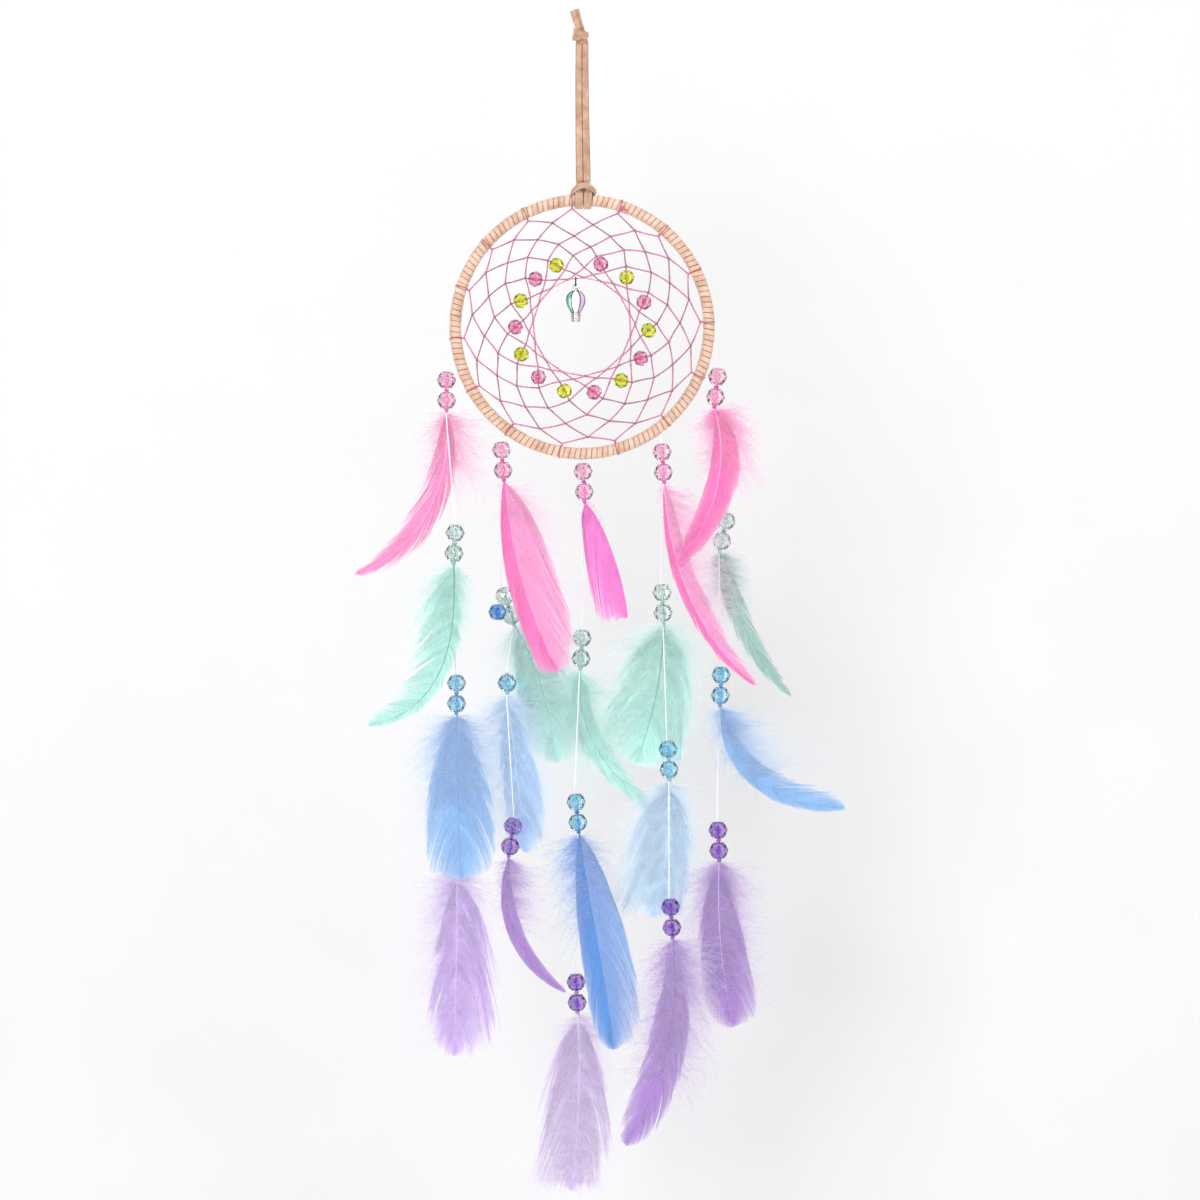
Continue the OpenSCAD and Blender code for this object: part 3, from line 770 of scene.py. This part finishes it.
HOT, ROSE_DYE = srgb(250, 134, 205), srgb(248, 174, 220)
CANDY, ORCHID = srgb(248, 160, 212), srgb(244, 142, 218)
MINT, SEA, SAGE = srgb(194, 238, 230), srgb(190, 232, 226), srgb(176, 212, 204)
SKY, AZURE, PERIWINKLE = srgb(156, 198, 238), srgb(98, 162, 230), srgb(144, 180, 230)
ICE, POWDER = srgb(206, 230, 246), srgb(196, 224, 248)
LILAC, VIOLET, MAUVE_DYE = srgb(218, 192, 240), srgb(190, 152, 220), srgb(222, 204, 236)
FEATHERS = (
    # string 1
    feather(7.5, (3, -40), (-12, -82), (-54, -98), (9, 0.5, 1.5), (8, 0.5, 1.5), CANDY, firm=0.08,
        ragged=0.3, split=0.9, angle=13, lock=9, down=((260, 330), (16, 30), 0.34)),
    feather(-9, (3, -40), (-2, -88), (-50, -97), (20, 0.36, 1.2), (6, 0.45, 1.5), MINT, firm=0.2,
        ragged=0.22, split=0.6, angle=34, lock=6, shaft=-0.5, down=((620, 360), (26, 12), 0.42)),
    feather(-7.5, (0, -33), (2, -66), (3, -97), (20, 0.74, 5.0), (21, 0.74, 5.0), SKY, firm=0.42, angle=26,
        split=0.3, shaft=-0.2, down=((760, 760), (28, 32), 0.6)),
    feather(7.5, (0, -38), (-1, -76), (-2, -114), (15, 0.66, 3.2), (24, 0.7, 3.0), LILAC, firm=0.5,
        ragged=0.16, split=0.7, pale=0.34, down=((900, 820), (30, 26), 0.9)),
    # string 2
    feather(-7.5, (3, -40), (14, -80), (32, -113), (9.5, 0.8, 8.0), (21, 0.5, 5.5), HOT, ROSE_DYE,
        firm=0.01, angle=14, split=0.06, lock=26, pale=0.2, shaft=-0.1, down=((40, 380), (8, 36), 0.6)),
    feather(13.5, (12, -20), (22, -50), (25, -82), (17, 0.66, 3.2), (19, 0.66, 3.2), SEA, firm=0.42,
        pale=0.42, shaft=-0.3, down=((560, 560), (28, 26), 0.7)),
    feather(9, (3, -33), (9, -66), (11, -95), (10, 0.5, 2.6), (14, 0.66, 3.0), POWDER, firm=0.5, split=0.3,
        down=((700, 620), (28, 26), 0.88)),
    feather(-9, (-6, -30), (4, -62), (33, -80), (4, 0.5, 2.0), (5.5, 0.5, 2.0), VIOLET, angle=14,
        shaft=-0.2, down=((80, 460), (8, 22), 0.5)),
    # string 3
    feather(-9, (8, -12), (17, -38), (25, -68), (17, 0.86, 4.0), (3, 0.5, 2.4), ORCHID, angle=14,
        split=0.08, firm=0.01, pale=0.15, shaft=0, down=((20, 20), (6, 6), 0.3)),
    feather(10.5, (-3, -30), (8, -60), (46, -86), (8, 0.4, 1.5), (8, 0.4, 1.5), MINT, firm=0.25,
        ragged=0.25, split=0.8, angle=15, lock=8, shaft=-0.3, down=((520, 520), (26, 26), 0.55)),
    feather(-7.5, (6, -43), (16, -86), (21, -128), (11, 0.66, 5.0), (19, 0.66, 3.6), AZURE, PERIWINKLE,
        angle=18, bow=0.0, cup=0.005, rise=0.1, shaft=-0.1, down=((480, 320), (24, 18), 0.42)),
    feather(7.5, (2, -36), (1, -72), (-4, -107), (25, 0.84, 4.0), (20, 0.8, 4.0), MAUVE_DYE, firm=0.3,
        ragged=0.25, split=0.6, pale=0.4, down=((820, 820), (24, 24), 1.0)),
    # string 4
    feather(-7.5, (2, -45), (18, -92), (54, -121), (5, 0.5, 2.0), (9, 0.5, 1.8), HOT, ROSE_DYE, firm=0.01,
        angle=13, ragged=0.15, split=0.5, down=((40, 620), (6, 38), 0.62)),
    feather(12, (0, -30), (-6, -56), (-16, -84), (30, 0.7, 3.4), (25, 0.76, 4.0), MINT, firm=0.46, angle=28,
        pale=0.45, shaft=-0.5, down=((820, 820), (36, 32), 0.75)),
    feather(9, (1, -28), (-2, -56), (-9, -82), (29, 0.86, 3.4), (17, 0.74, 3.0), ICE, firm=0.5, ragged=0.14,
        split=0.5, pale=0.4, down=((980, 640), (32, 22), 0.92)),
    feather(-9, (4, -40), (-2, -84), (-28, -122), (12, 0.55, 3.4), (12, 0.6, 3.4), VIOLET, firm=0.3,
        ragged=0.12, split=0.4, bow=2.6, rise=0.15, inner=0.2, shaft=-0.2,
        down=((820, 940), (24, 30), 0.66)),
    # string 5
    feather(-9, (8, -30), (4, -62), (-22, -94), (7.5, 0.62, 2.0), (12, 0.42, 1.2), HOT, firm=0.1, angle=16,
        split=0.3, down=((320, 560), (16, 24), 0.36)),
    feather(10.5, (8, -30), (20, -66), (43, -87), (6.5, 0.4, 1.6), (6, 0.5, 1.6), SAGE, firm=0.1,
        ragged=0.25, split=0.8, angle=14, lock=7, shaft=-0.2, down=((360, 360), (14, 14), 0.35)),
    feather(-10.5, (4, -36), (24, -58), (73, -61), (5, 0.6, 2.4), (11, 0.66, 3.0), SKY, firm=0.12,
        ragged=0.15, split=0.4, shaft=-0.1, down=((160, 760), (12, 30), 0.5)),
    feather(7.5, (-1, -34), (1, -68), (9, -99), (14, 0.74, 4.2), (17, 0.8, 4.0), VIOLET, firm=0.3,
        down=((760, 860), (22, 27), 0.8)),
)


def width_at(u, spec):
    """How wide one side of the vane is at a share u of its length."""
    width, peak, roundness = spec
    rise = np.sin(np.clip(u / peak, 0, 1) * pi / 2) ** 0.8
    fall = np.maximum(1 - np.clip((u - peak) / (1 - peak), 0, 1) ** roundness, 0) ** 0.6
    return width * np.where(u < peak, rise, fall)


class Rachis:
    """A feather's shaft: places are given as (along the shaft, sideways, out of the vane), in mm."""

    def __init__(self, drop, f):
        t = np.linspace(0, 1, 160)[:, None]
        h1, h2, tip = (np.array([p[0], 0, p[1]]) for p in (f.h1, f.h2, f.tip))
        line = drop.bottom + 3 * t * (1 - t) ** 2 * h1 + 3 * t * t * (1 - t) * h2 + t ** 3 * tip
        depth = f.layer - drop.bottom[1]
        s = np.clip(t[:, 0] / 0.24, 0, 1)
        bow = copysign(f.bow, f.layer) * t[:, 0] ** 2
        line[:, 1] = drop.bottom[1] + depth * s * s * (3 - 2 * s) + bow
        ahead = unit(line[-1] - line[-2])
        more = line[-1] + ahead * np.linspace(1, 30, 30)[:, None]
        self.own = line
        line = np.concatenate([line, more])
        self.line = line
        self.at = travelled(line)
        self.length = self.at[len(self.own) - 1]
        along = unit(np.gradient(line, axis=0))
        side = unit(np.stack([-along[:, 2], np.zeros(len(line)), along[:, 0]], 1))
        self.side = side
        self.out = unit(np.cross(side, along))
        self.out *= np.sign(self.out[:, 1:2]) * copysign(1, f.layer)

    def place(self, a, l, o):
        a = np.clip(a, 0, self.at[-1])
        pick = lambda values: np.stack([np.interp(a, self.at, values[:, k]) for k in range(3)], -1)
        return pick(self.line) + pick(self.side) * l[..., None] + pick(self.out) * o[..., None]


def ribbon_quads(n, k):
    """Quads for n ribbons of k steps; each step has two points."""
    i, j = np.arange(n)[:, None], np.arange(k - 1)[None]
    a = (i * k + j) * 2
    return np.stack([a, a + 1, a + 3, a + 2], -1).reshape(-1, 4)


def barbs(shape, r, f, side, rng):
    """One side of the vane: each barb's tip is on the outline, and its root follows from its lean."""
    dye = np.array(f.dye if side < 0 else f.dye_right)
    begin, end = f.start * r.length, r.length + END_OVER
    share = np.linspace(0.0, 1.0, 600)
    wide = width_at(share, f.left if side < 0 else f.right)
    tip = begin + share * (end - begin)
    root = np.minimum(tip - wide / tan(radians(f.angle)), r.length * 0.995)
    root = np.maximum.accumulate(np.maximum(root, begin))
    gone = np.hypot(np.diff(tip), 1.2 * np.diff(root)) + 0.5 * np.abs(np.diff(wide))
    travel = np.concatenate([[0], np.cumsum(gone)])
    n = int(travel[-1] / BARB_PITCH)
    at = (np.arange(n) + 0.5 + rng.uniform(-0.3, 0.3, n)) * travel[-1] / n
    tip, root, w = (np.interp(at, travel, v) for v in (tip, root, wide))
    loose = np.zeros(n)
    if f.firm > 0.12:
        firm_at = f.firm * r.length
        loose = np.clip((firm_at - root) / (firm_at - begin + 1e-6), 0, 1)
    kept = rng.uniform(0, 1, n) > 0.55 * loose
    tip, root, w, loose = tip[kept], root[kept], w[kept], loose[kept]
    n = len(tip)
    w = w * (1 + loose * rng.uniform(-0.35, 0.15, n))
    lock_of, k = np.zeros(n, int), 0
    while k < n:
        size = max(3, int(rng.gamma(2.0, f.lock / 2.0)))
        lock_of[k:k + size] = lock_of[k - 1] + 1 if k else 0
        k += size
    locks = lock_of.max() + 1
    centre = np.array([tip[lock_of == q].mean() for q in range(locks)])[lock_of]
    pull = (f.split * np.minimum(rng.gamma(1.0, 1.0, locks), 2.2) / 1.2)[lock_of]
    reach = (1 + rng.uniform(-f.ragged, f.ragged * 0.3, locks))[lock_of]
    reach = reach * (1 + rng.normal(0, f.ragged * 0.25 + 0.012, n))
    rise = rng.normal(0, f.rise, locks)[lock_of]
    tone = (1 + rng.normal(0, 0.04, locks))[lock_of] * (1 + rng.normal(0, 0.05, n))
    steps = 7
    s = np.linspace(0, 1, steps)[None]
    sideways, upwards = 1.3 * s - 0.3 * s * s, 0.5 * s + 0.5 * s * s
    lat = (w * reach)[:, None] * sideways
    a = root[:, None] + ((tip - root) * reach)[:, None] * upwards
    gap_a = np.gradient(root[:, None] + (tip - root)[:, None] * upwards, axis=0)
    gap_l = np.gradient(w[:, None] * sideways, axis=0)
    go_a, go_l = np.gradient(a, axis=1), np.gradient(lat, axis=1)
    size = np.maximum(np.hypot(go_a, go_l), 1e-6)
    go_a, go_l = go_a / size, go_l / size
    half = np.clip(0.95 * np.abs(gap_a * go_l - gap_l * go_a), 0.13, 0.75) * (1 - 0.62 * s ** 6)
    half = half * (1 - 0.72 * loose[:, None] * (0.3 + 0.7 * s))
    lat = lat + loose[:, None] * 1.2 * s * np.sin(5 * s + rng.uniform(0, 6.28, n)[:, None])
    a = a + loose[:, None] * s * rng.normal(0, 2.2, n)[:, None]
    a = a + (centre - tip)[:, None] * np.minimum(pull, 0.9)[:, None] * s ** 3
    o = f.cup * w[:, None] * s * s + rise[:, None] * s ** 1.5 + 0.12 * np.sin(a * 0.35 + side)
    tilt = 0.35 * half
    p0 = r.place(a - half * go_l, side * (lat + half * go_a), o - tilt)
    p1 = r.place(a + half * go_l, side * (lat - half * go_a), o + tilt)
    points = np.stack([p0, p1], 2)
    light = f.pale * s ** 2 + 0.06 * (1 - s)
    tint = dye * tone[:, None, None] * (1 - light[..., None]) + light[..., None]
    tint = np.repeat(tint[:, :, None], 2, 2)
    shape.add(points.reshape(-1, 3), ribbon_quads(n, steps), tint=np.clip(tint.reshape(-1, 3), 0, 1))


def held(a, length):
    """Draws places past the feather's end back to just below it."""
    over = np.maximum(a - (length - 8), 0)
    return np.where(a > length - 8, length - 8 + 10 * np.tanh(over / 20), a)


def down(shape, r, f, side, rng):
    """Loose down: long curling fibres, each with short hairs along it."""
    fibres, longest, down_to = f.down
    n = int(fibres[side > 0] * 1.15)
    longest = longest[side > 0] * DOWN_REACH
    dye = np.array(f.dye if side < 0 else f.dye_right)
    begin = LEAST_START * r.length
    a0 = begin + rng.beta(1.0, 1.5, n) * (down_to * r.length)
    size = longest * (0.18 + 1.1 * rng.beta(1.2, 2.4, n))
    steps = 6
    s = np.linspace(0, 1, steps)[None]
    swing = rng.normal(0.55, 0.4, n)[:, None]
    curl = rng.normal(0, 0.2, n)[:, None]
    wave = rng.uniform(0, 6.28, n)[:, None]
    lat = size[:, None] * (s * (1 - 0.2 * s) + curl * np.sin(3.0 * s + wave) * 0.35 * s)
    a = a0[:, None] + size[:, None] * (swing * s + curl * s * s + 0.10 * np.sin(4.5 * s + wave) * s)
    a = held(a, r.length)
    deep = rng.normal(0, 1.0, n)[:, None]
    o = np.clip(deep * s * 1.3 + 0.5 * np.sin(3 * s + wave) * s, f.inner, 2.4)
    half = 0.10 * (1 - 0.7 * s) * np.ones((n, 1))
    p0, p1 = r.place(a - half, side * lat, o), r.place(a + half, side * lat, o)
    tone = 0.16 + rng.uniform(-0.15, 0.15, n)[:, None] + 0.6 * f.pale + 0.3 * s * longest / 30
    tone = np.clip(tone, 0, 0.8)[..., None]
    tint = dye * (1 - tone) + tone
    tint = np.broadcast_to(tint[:, :, None], (n, steps, 2, 3))
    shape.add(np.stack([p0, p1], 2).reshape(-1, 3), ribbon_quads(n, steps), tint=tint.reshape(-1, 3))
    hairs = 7
    at = rng.uniform(0.05, 0.97, (n, hairs))
    pick = lambda v: np.stack([np.interp(at[q], s[0], v[q]) for q in range(n)])
    ha, hl, ho = pick(a), pick(lat), pick(o)
    long = rng.uniform(1.4, 4.0, (n, hairs)) * (1.1 - 0.5 * at)
    turn = rng.uniform(0.3, 1.1, (n, hairs)) * rng.choice([-1, 1], (n, hairs))
    ea, el = ha + long * np.sin(turn) + long * 0.3, hl + long * np.cos(turn)
    ea = held(ea, r.length)
    eo = np.clip(ho + rng.normal(0, 0.4, (n, hairs)), f.inner - 0.2, 2.6)
    thin = 0.07
    q0 = r.place(ha - thin, side * hl, ho)
    q1 = r.place(ha + thin, side * hl, ho)
    q2 = r.place(ea, side * el, eo)
    tris = np.arange(n * hairs * 3).reshape(-1, 3)
    shape.add(np.stack([q0, q1, q2], 2).reshape(-1, 3), tris=tris,
              tint=np.repeat(np.clip(dye * 0.6 + 0.4, 0, 1)[None], n * hairs * 3, 0))


for s in range(5):
    for t in range(4):
        tier, f, drop = TIERS[t], FEATHERS[4 * s + t], Drop(s, t)
        rng = np.random.default_rng(100 + 10 * s + t)
        r = Rachis(drop, f)
        vane = Shape()
        for side in (-1, 1):
            barbs(vane, r, f, side, rng)
        name, slot = f"{tier}_feather_{s + 1}", f"feather_{tier}"
        piece(vane, f"{name}_vane", FEATHER[tier], drop.body, (name,))
        fluff = Shape()
        for side in (-1, 1):
            down(fluff, r, f, side, rng)
        piece(fluff, f"{name}_down", DOWN[tier], drop.body)
        shaft = Shape()
        middle = (drop.upper + drop.lower) / 2
        off = 0.5 * drop.across
        line = np.concatenate([spaced([middle + off, drop.bottom + off * 0.8], 1.5), r.own[4::4]])
        size = np.linspace(1.0, 0.22, len(line))
        dye = np.array(f.dye)
        colour = dye * (1 - f.shaft) + f.shaft if f.shaft >= 0 else dye * (1 + f.shaft)
        sweep(shaft, line, rounded(0.5, 7), scale=size, tint=colour)
        piece(shaft, f"{name}_shaft", QUILL, drop.body)
        knots = Shape()
        above = middle if drop.paired else drop.upper - drop.axis * 5
        below = drop.bottom - drop.axis * 0.3
        for at, radii, share in ((above, (1.5, 1.4, 1.2), 0.9), (below, (1.3, 1.3, 1.5), 0.85)):
            lump(knots, at, radii, 6, 10, np.clip(dye * share, 0, 1), rng, 0.2, drop.axis)
        piece(knots, f"{name}_knots", FEATHER[tier], drop.body)

# ---- lace knot, tails and lark's head
TAILS = (
    [(-1.4, -0.8, 6), (-2.2, -0.9, 9.5), (-3.8, -0.8, 14), (-5.8, -0.8, 20)],
    [(0.4, 0.8, 6), (-0.4, 0.9, 9.5), (-1.8, 0.8, 14), (-3.4, 0.8, 21)],
)
shape = Shape()
lace = flat_lace(LACE_W, LACE_T)
for k, tail in enumerate(TAILS):
    line = curve(tail, 1.0)
    sweep(shape, line, lace, turn=np.linspace(0, 0.35 * (1 - 2 * k), len(line)))
for x0, x1 in ((-1.9, -2.4), (1.9, 0.4)):
    route = [(x0, 0.2, -1.0), (x0 * 1.05, 0.6, 1.6), (x1, 1.0, 4.0), (x1, 0.6, 7.5)]
    sweep(shape, curve(route), lace)
for centre_z, tilt, rx, ry in ((4.6, 0.22, 4.3, 2.3), (6.9, -0.30, 3.7, 2.4)):
    w = circle(28)
    height = centre_z + tilt * rx * np.cos(w) + 0.5 * np.sin(w)
    line = np.stack([-0.9 + rx * np.cos(w), ry * np.sin(w), height], 1)
    out = np.stack([np.cos(w) / rx, np.sin(w) / ry, 0 * w], 1)
    sweep(shape, line, flat_lace(LACE_W * 0.95, LACE_T), unit(out), closed=True, caps=False)
route = [(-4.6, -0.6, 7.4), (-2.4, -2.6, 6.8), (0.4, -2.9, 5.2), (2.9, -1.2, 3.6)]
sweep(shape, curve(route), lace)
piece(shape, "lace_overhand_knot", LACE, "hanger", ("lace_knot",))

shape = Shape()
TILT_Z = HOOP_Z + TUBE_R
STRANDS_END = -82.4
# painted shade for the fold in the middle of the lark's head
FOLD_SHADE = (0.4, 0.32, 0.27)
for k, cx in enumerate((-2.0, 3.4)):
    w = circle(40)
    rr = WRAP_R + 0.55 + LACE_T / 2 + 0.06 * np.cos(3 * w + k)
    line = np.stack([cx + 0.25 * np.sin(w + k), -rr * np.sin(w), TILT_Z + rr * np.cos(w)], 1)
    out = np.stack([0 * w, -np.sin(w), np.cos(w)], 1)
    sweep(shape, line, flat_lace(4.8, LACE_T, 0.5), out, closed=True, caps=False)
# the bight, arched over the two strands
w = np.linspace(-1.15, 1.15, 25)
height = HOOP_TOP + 4.6 - 4.6 * (np.sin(w) ** 2) + 0.3 * np.sin(w)
bight = np.stack([0.9 + 7.8 * np.sin(w), -6.4 * np.cos(w) + 2.2, height], 1)
out = np.stack([np.sin(w), -np.cos(w), 0.35 * np.ones(len(w))], 1)
sweep(shape, bight, flat_lace(3.6, LACE_T, 0.5), unit(out))
# a fold in the middle, darkened with painted shade, and the strands going down behind the bight
for cx, lean, y, tint in ((0.7, 0.05, 0.5, FOLD_SHADE), (-1.5, -0.6, 0.0, WHITE), (2.9, 0.5, 0.0, WHITE)):
    route = [(cx, y, STRANDS_END), (cx + lean * 0.3, -0.6, HOOP_TOP + 4.2), (cx + lean, -2.0, HOOP_TOP + 1.0),
             (cx + lean * 1.4, -3.6, HOOP_TOP - 2.0)]
    sweep(shape, curve(route), flat_lace(LACE_W * 1.1, LACE_T), tint=tint)
# the bight's ends, going back round the hoop
for cx in (-5.2, 7.2):
    route = [(cx * 0.93, -0.6, HOOP_TOP + 2.2), (cx * 0.9, 1.6, HOOP_TOP + 1.6),
             (cx * 0.6 + 0.3, 3.4, HOOP_TOP + 0.6), (cx * 0.45 + 0.5, 4.6, HOOP_TOP - 1.5)]
    line = curve(route)
    sweep(shape, line, flat_lace(4.6, LACE_T, 0.5), (copysign(0.6, cx), 0.8, 0.5))
piece(shape, "larks_head_lace", LACE, "hitch", ("larks_head",))

# ---- charm
eye_low, eye_high = box_mm("charm_eye")
bal_low, bal_high = box_mm("charm_balloon")
bas_low, bas_high = box_mm("charm_basket")
cx = (bal_low[0] + bal_high[0]) / 2
top_z, mouth_z = bal_high[2], bal_low[2]
belly = (bal_high[0] - bal_low[0]) / 2
deep = (bal_high[1] - bal_low[1]) / 2


def envelope(u, angle, grow=1.0):
    """A point on the balloon: u from its crown to its mouth, angle round from the front."""
    z = top_z - (top_z - mouth_z) * u
    drop = top_z - z
    r = np.where(drop < belly, np.sqrt(np.maximum(belly ** 2 - (belly - drop) ** 2, 0)), 0)
    tail = (drop - belly) / (top_z - mouth_z - belly)
    r = np.where(drop >= belly, belly * np.cos(np.clip(tail, 0, 1) * 1.18), r)
    r = r * grow
    return np.stack([cx + r * np.sin(angle), -r * deep / belly * np.cos(angle), z * np.ones_like(r)], -1)


SIXTH = pi / 3
US, AROUND = 26, 48
shape = Shape()
us, ang = np.linspace(0.004, 0.996, US)[:, None], np.arange(AROUND)[None] * tau / AROUND
ang_of_gore = ang + pi / 6
gore = np.floor((ang_of_gore % tau) / SIXTH).astype(int)
CREAM, LILAC_GORE = srgb(244, 242, 238), srgb(206, 170, 214)
GORES = np.array([CREAM, LILAC_GORE, srgb(96, 168, 156), CREAM, LILAC_GORE, srgb(96, 176, 164)])
grow = 0.97 - 0.05 * np.abs((ang_of_gore % SIXTH) / (pi / 6) - 1) ** 4 * np.ones_like(us)
points = envelope(us * np.ones_like(ang), ang * np.ones_like(us), grow)
shape.add(points.reshape(-1, 3), tube_quads(US, AROUND)[:, INSIDE_OUT],
          tint=np.broadcast_to(GORES[gore], (US, AROUND, 3)).reshape(-1, 3))
piece(shape, "balloon_envelope", ENAMEL, "charm", ("charm_balloon",))

shape = Shape()
u = np.linspace(0.01, 0.99, 22)
for q in range(6):
    angle = pi / 6 + q * SIXTH
    sweep(shape, envelope(u, np.full(len(u), angle)), rounded(0.34),
          (sin(angle), -cos(angle), 0), tint=(0.22, 0.22, 0.23))
EYE_R = 1.5
eye_x, eye_z = (eye_low[0] + eye_high[0]) / 2, eye_high[2] - EYE_R - 0.4
w = circle(24)
line = np.stack([eye_x + EYE_R * np.cos(w), 0 * w, eye_z + EYE_R * np.sin(w)], 1)
sweep(shape, line, rounded(0.4), closed=True, caps=False)
for sx in (-1, 1):
    for sy in (-1, 1):
        leaf = smooth_line([(cx, sy * 0.6, top_z + 0.3), (cx + sx * 1.2, sy * 0.7, top_z + 0.5),
                            (cx + sx * 2.1, sy * 0.5, top_z - 0.5)], 5)
        sweep(shape, leaf, rounded(0.5), scale=np.linspace(1.1, 0.35, len(leaf)))
    sweep(shape, [(cx + sx * 0.9, 0, mouth_z + 0.8), (cx + sx * 1.6, 0, mouth_z - 0.9)], rounded(0.35))
piece(shape, "balloon_wirework", SILVER, "charm", ("charm_eye",))

LEVELS, STAVES = 41, 28
RIBS = 4 * pi
shape = Shape()
bz0, bz1 = bas_low[2], bas_high[2]
br = (bas_high[0] - bas_low[0]) / 2
levels = np.linspace(0, 1, LEVELS)
rad = br * (0.82 + 0.18 * levels) * (0.9 + 0.1 * np.abs(np.cos(levels * RIBS)) ** 0.6)
rad[0] *= 0.9
w = np.arange(STAVES) * tau / STAVES
side = rad[:, None] * (1 + 0.02 * np.cos(14 * w))
height = bz0 + (bz1 - bz0) * levels[:, None] * np.ones(STAVES)
points = np.stack([cx + side * np.cos(w), side * np.sin(w), height], -1)
points = np.concatenate([points.reshape(-1, 3), [[cx, 0, bz0], [cx, 0, bz1 - 0.8]]])
n, rim = LEVELS * STAVES, (LEVELS - 1) * STAVES
tris = [(n, (k + 1) % STAVES, k) for k in range(STAVES)]
tris += [(n + 1, rim + k, rim + (k + 1) % STAVES) for k in range(STAVES)]
groove = np.repeat(0.55 + 0.45 * np.abs(np.cos(levels * RIBS)) ** 0.5, STAVES)
tint = np.concatenate([groove, [0.6, 0.3]])[:, None] * np.ones(3)
shape.add(points, tube_quads(LEVELS, STAVES), tris, tint)
piece(shape, "balloon_basket", SILVER, "charm", ("charm_basket",))

# the caught bead hangs on a small loop of thread round the string
c_low, c_high = box_mm("blue_bead_caught")
c = (c_low + c_high) / 2
green = Drop(1, 1).upper
loop = [c + (0, 0, -5.9), c, c + (0, 0, 5.9), (green + c) / 2 + (0.6, 0.5, 4.6), green + (1.0, 0.2, -5.6),
        (green + c) / 2 + (2.2, 0.4, -4.0), c + (1.8, 0.6, -6.6), c + (0, 0, -5.9)]
shape = Shape()
sweep(shape, curve(loop, 0.7), plied(0.22, 6), (0.2, -1, 0.1), caps=False)
piece(shape, "caught_bead_thread", NYLON, "drop_2_green")

# ---- studio
def plane(name, corners, material):
    mesh = bpy.data.meshes.new(name)
    mesh.from_pydata(corners, [], [(0, 1, 2, 3)])
    mesh.materials.append(material)
    add_object(name, mesh)


def paint(name, grain, light, rough, glow):
    """Pale paint that glows a little; grain is a noise's scale and detail."""
    m, nt, p, out = new_material(name)
    tone = ramp(nt, noise(nt, *grain), [(0.3, (0.52, 0.52, 0.525)), (0.7, (light, light, light))])
    link(nt, tone, p.inputs["Base Color"])
    put(p, "Roughness", rough)
    put(p, "Emission Color", (1, 1, 1, 1))
    put(p, "Emission Strength", glow)
    return m, nt, p, out


# the wall is clear from behind, and far enough back for the hoop tilted to its limit
WALL_Y, WALL_X, WALL_TOP = high.y + 0.25, 3, 2.5
FLOOR_Z, FLOOR_HALF = low.z - 0.09, 14
WALL, nt, p, out = paint("pale_paint", (4, 3), 0.55, 0.9, 0.26)
side_of = node(nt, "NewGeometry")
clear = node(nt, "BsdfTransparent")
mix_shaders(nt, side_of.outputs["Backfacing"], p.outputs[0], clear.outputs[0], out)
plane("wall", [(-WALL_X, WALL_Y, FLOOR_Z), (WALL_X, WALL_Y, FLOOR_Z), (WALL_X, WALL_Y, WALL_TOP),
               (-WALL_X, WALL_Y, WALL_TOP)], WALL)
FLOOR = paint("pale_floor", (5, 4), 0.56, 0.8, 0.45)[0]
corners = ((-1, -1), (1, -1), (1, 1), (-1, 1))
plane("floor", [(x * FLOOR_HALF, y * FLOOR_HALF, FLOOR_Z) for x, y in corners], FLOOR)


def area(name, location, target, size, power):
    light = bpy.data.lights.new(name, "AREA")
    light.shape = "RECTANGLE"
    light.size, light.size_y = size
    light.energy = power
    o = add_object(name, light)
    o.location = location
    o.rotation_euler = (Vector(target) - Vector(location)).to_track_quat("-Z", "Y").to_euler()


MID = ((high.x + low.x) / 2, 0, (high.z + low.z) / 2)
area("key", (-0.75, -2.0, MID[2] + 0.1), MID, (0.9, 0.9), 26)
area("fill", (1.5, -1.5, MID[2] + 0.9), MID, (1.6, 1.6), 16)
area("top", (0, -0.6, MID[2] + 1.7), MID, (1.6, 0.8), 9.5)

world = bpy.data.worlds.new("studio")
bpy.context.scene.world = world
world.use_nodes = True
nt = world.node_tree
nt.nodes.clear()
out = node(nt, "OutputWorld")
seen, lit = node(nt, "Background"), node(nt, "Background")
put(seen, 0, (0.94, 0.94, 0.945, 1))
tc = node(nt, "TexCoord")
split = node(nt, "SeparateXYZ")
link(nt, tc.outputs["Generated"], split.inputs[0])
dim = [(0.0, (0.10, 0.10, 0.11)), (0.5, (0.35, 0.35, 0.36)), (1.0, WHITE)]
link(nt, ramp(nt, to_range(nt, split.outputs["Z"], 0.5, 1.0), dim), lit.inputs[0])
put(lit, 1, 0.6)
path = node(nt, "LightPath")
mix_shaders(nt, path.outputs["Is Camera Ray"], lit.outputs[0], seen.outputs[0], out)
bpy.context.scene.view_settings.view_transform = "Standard"
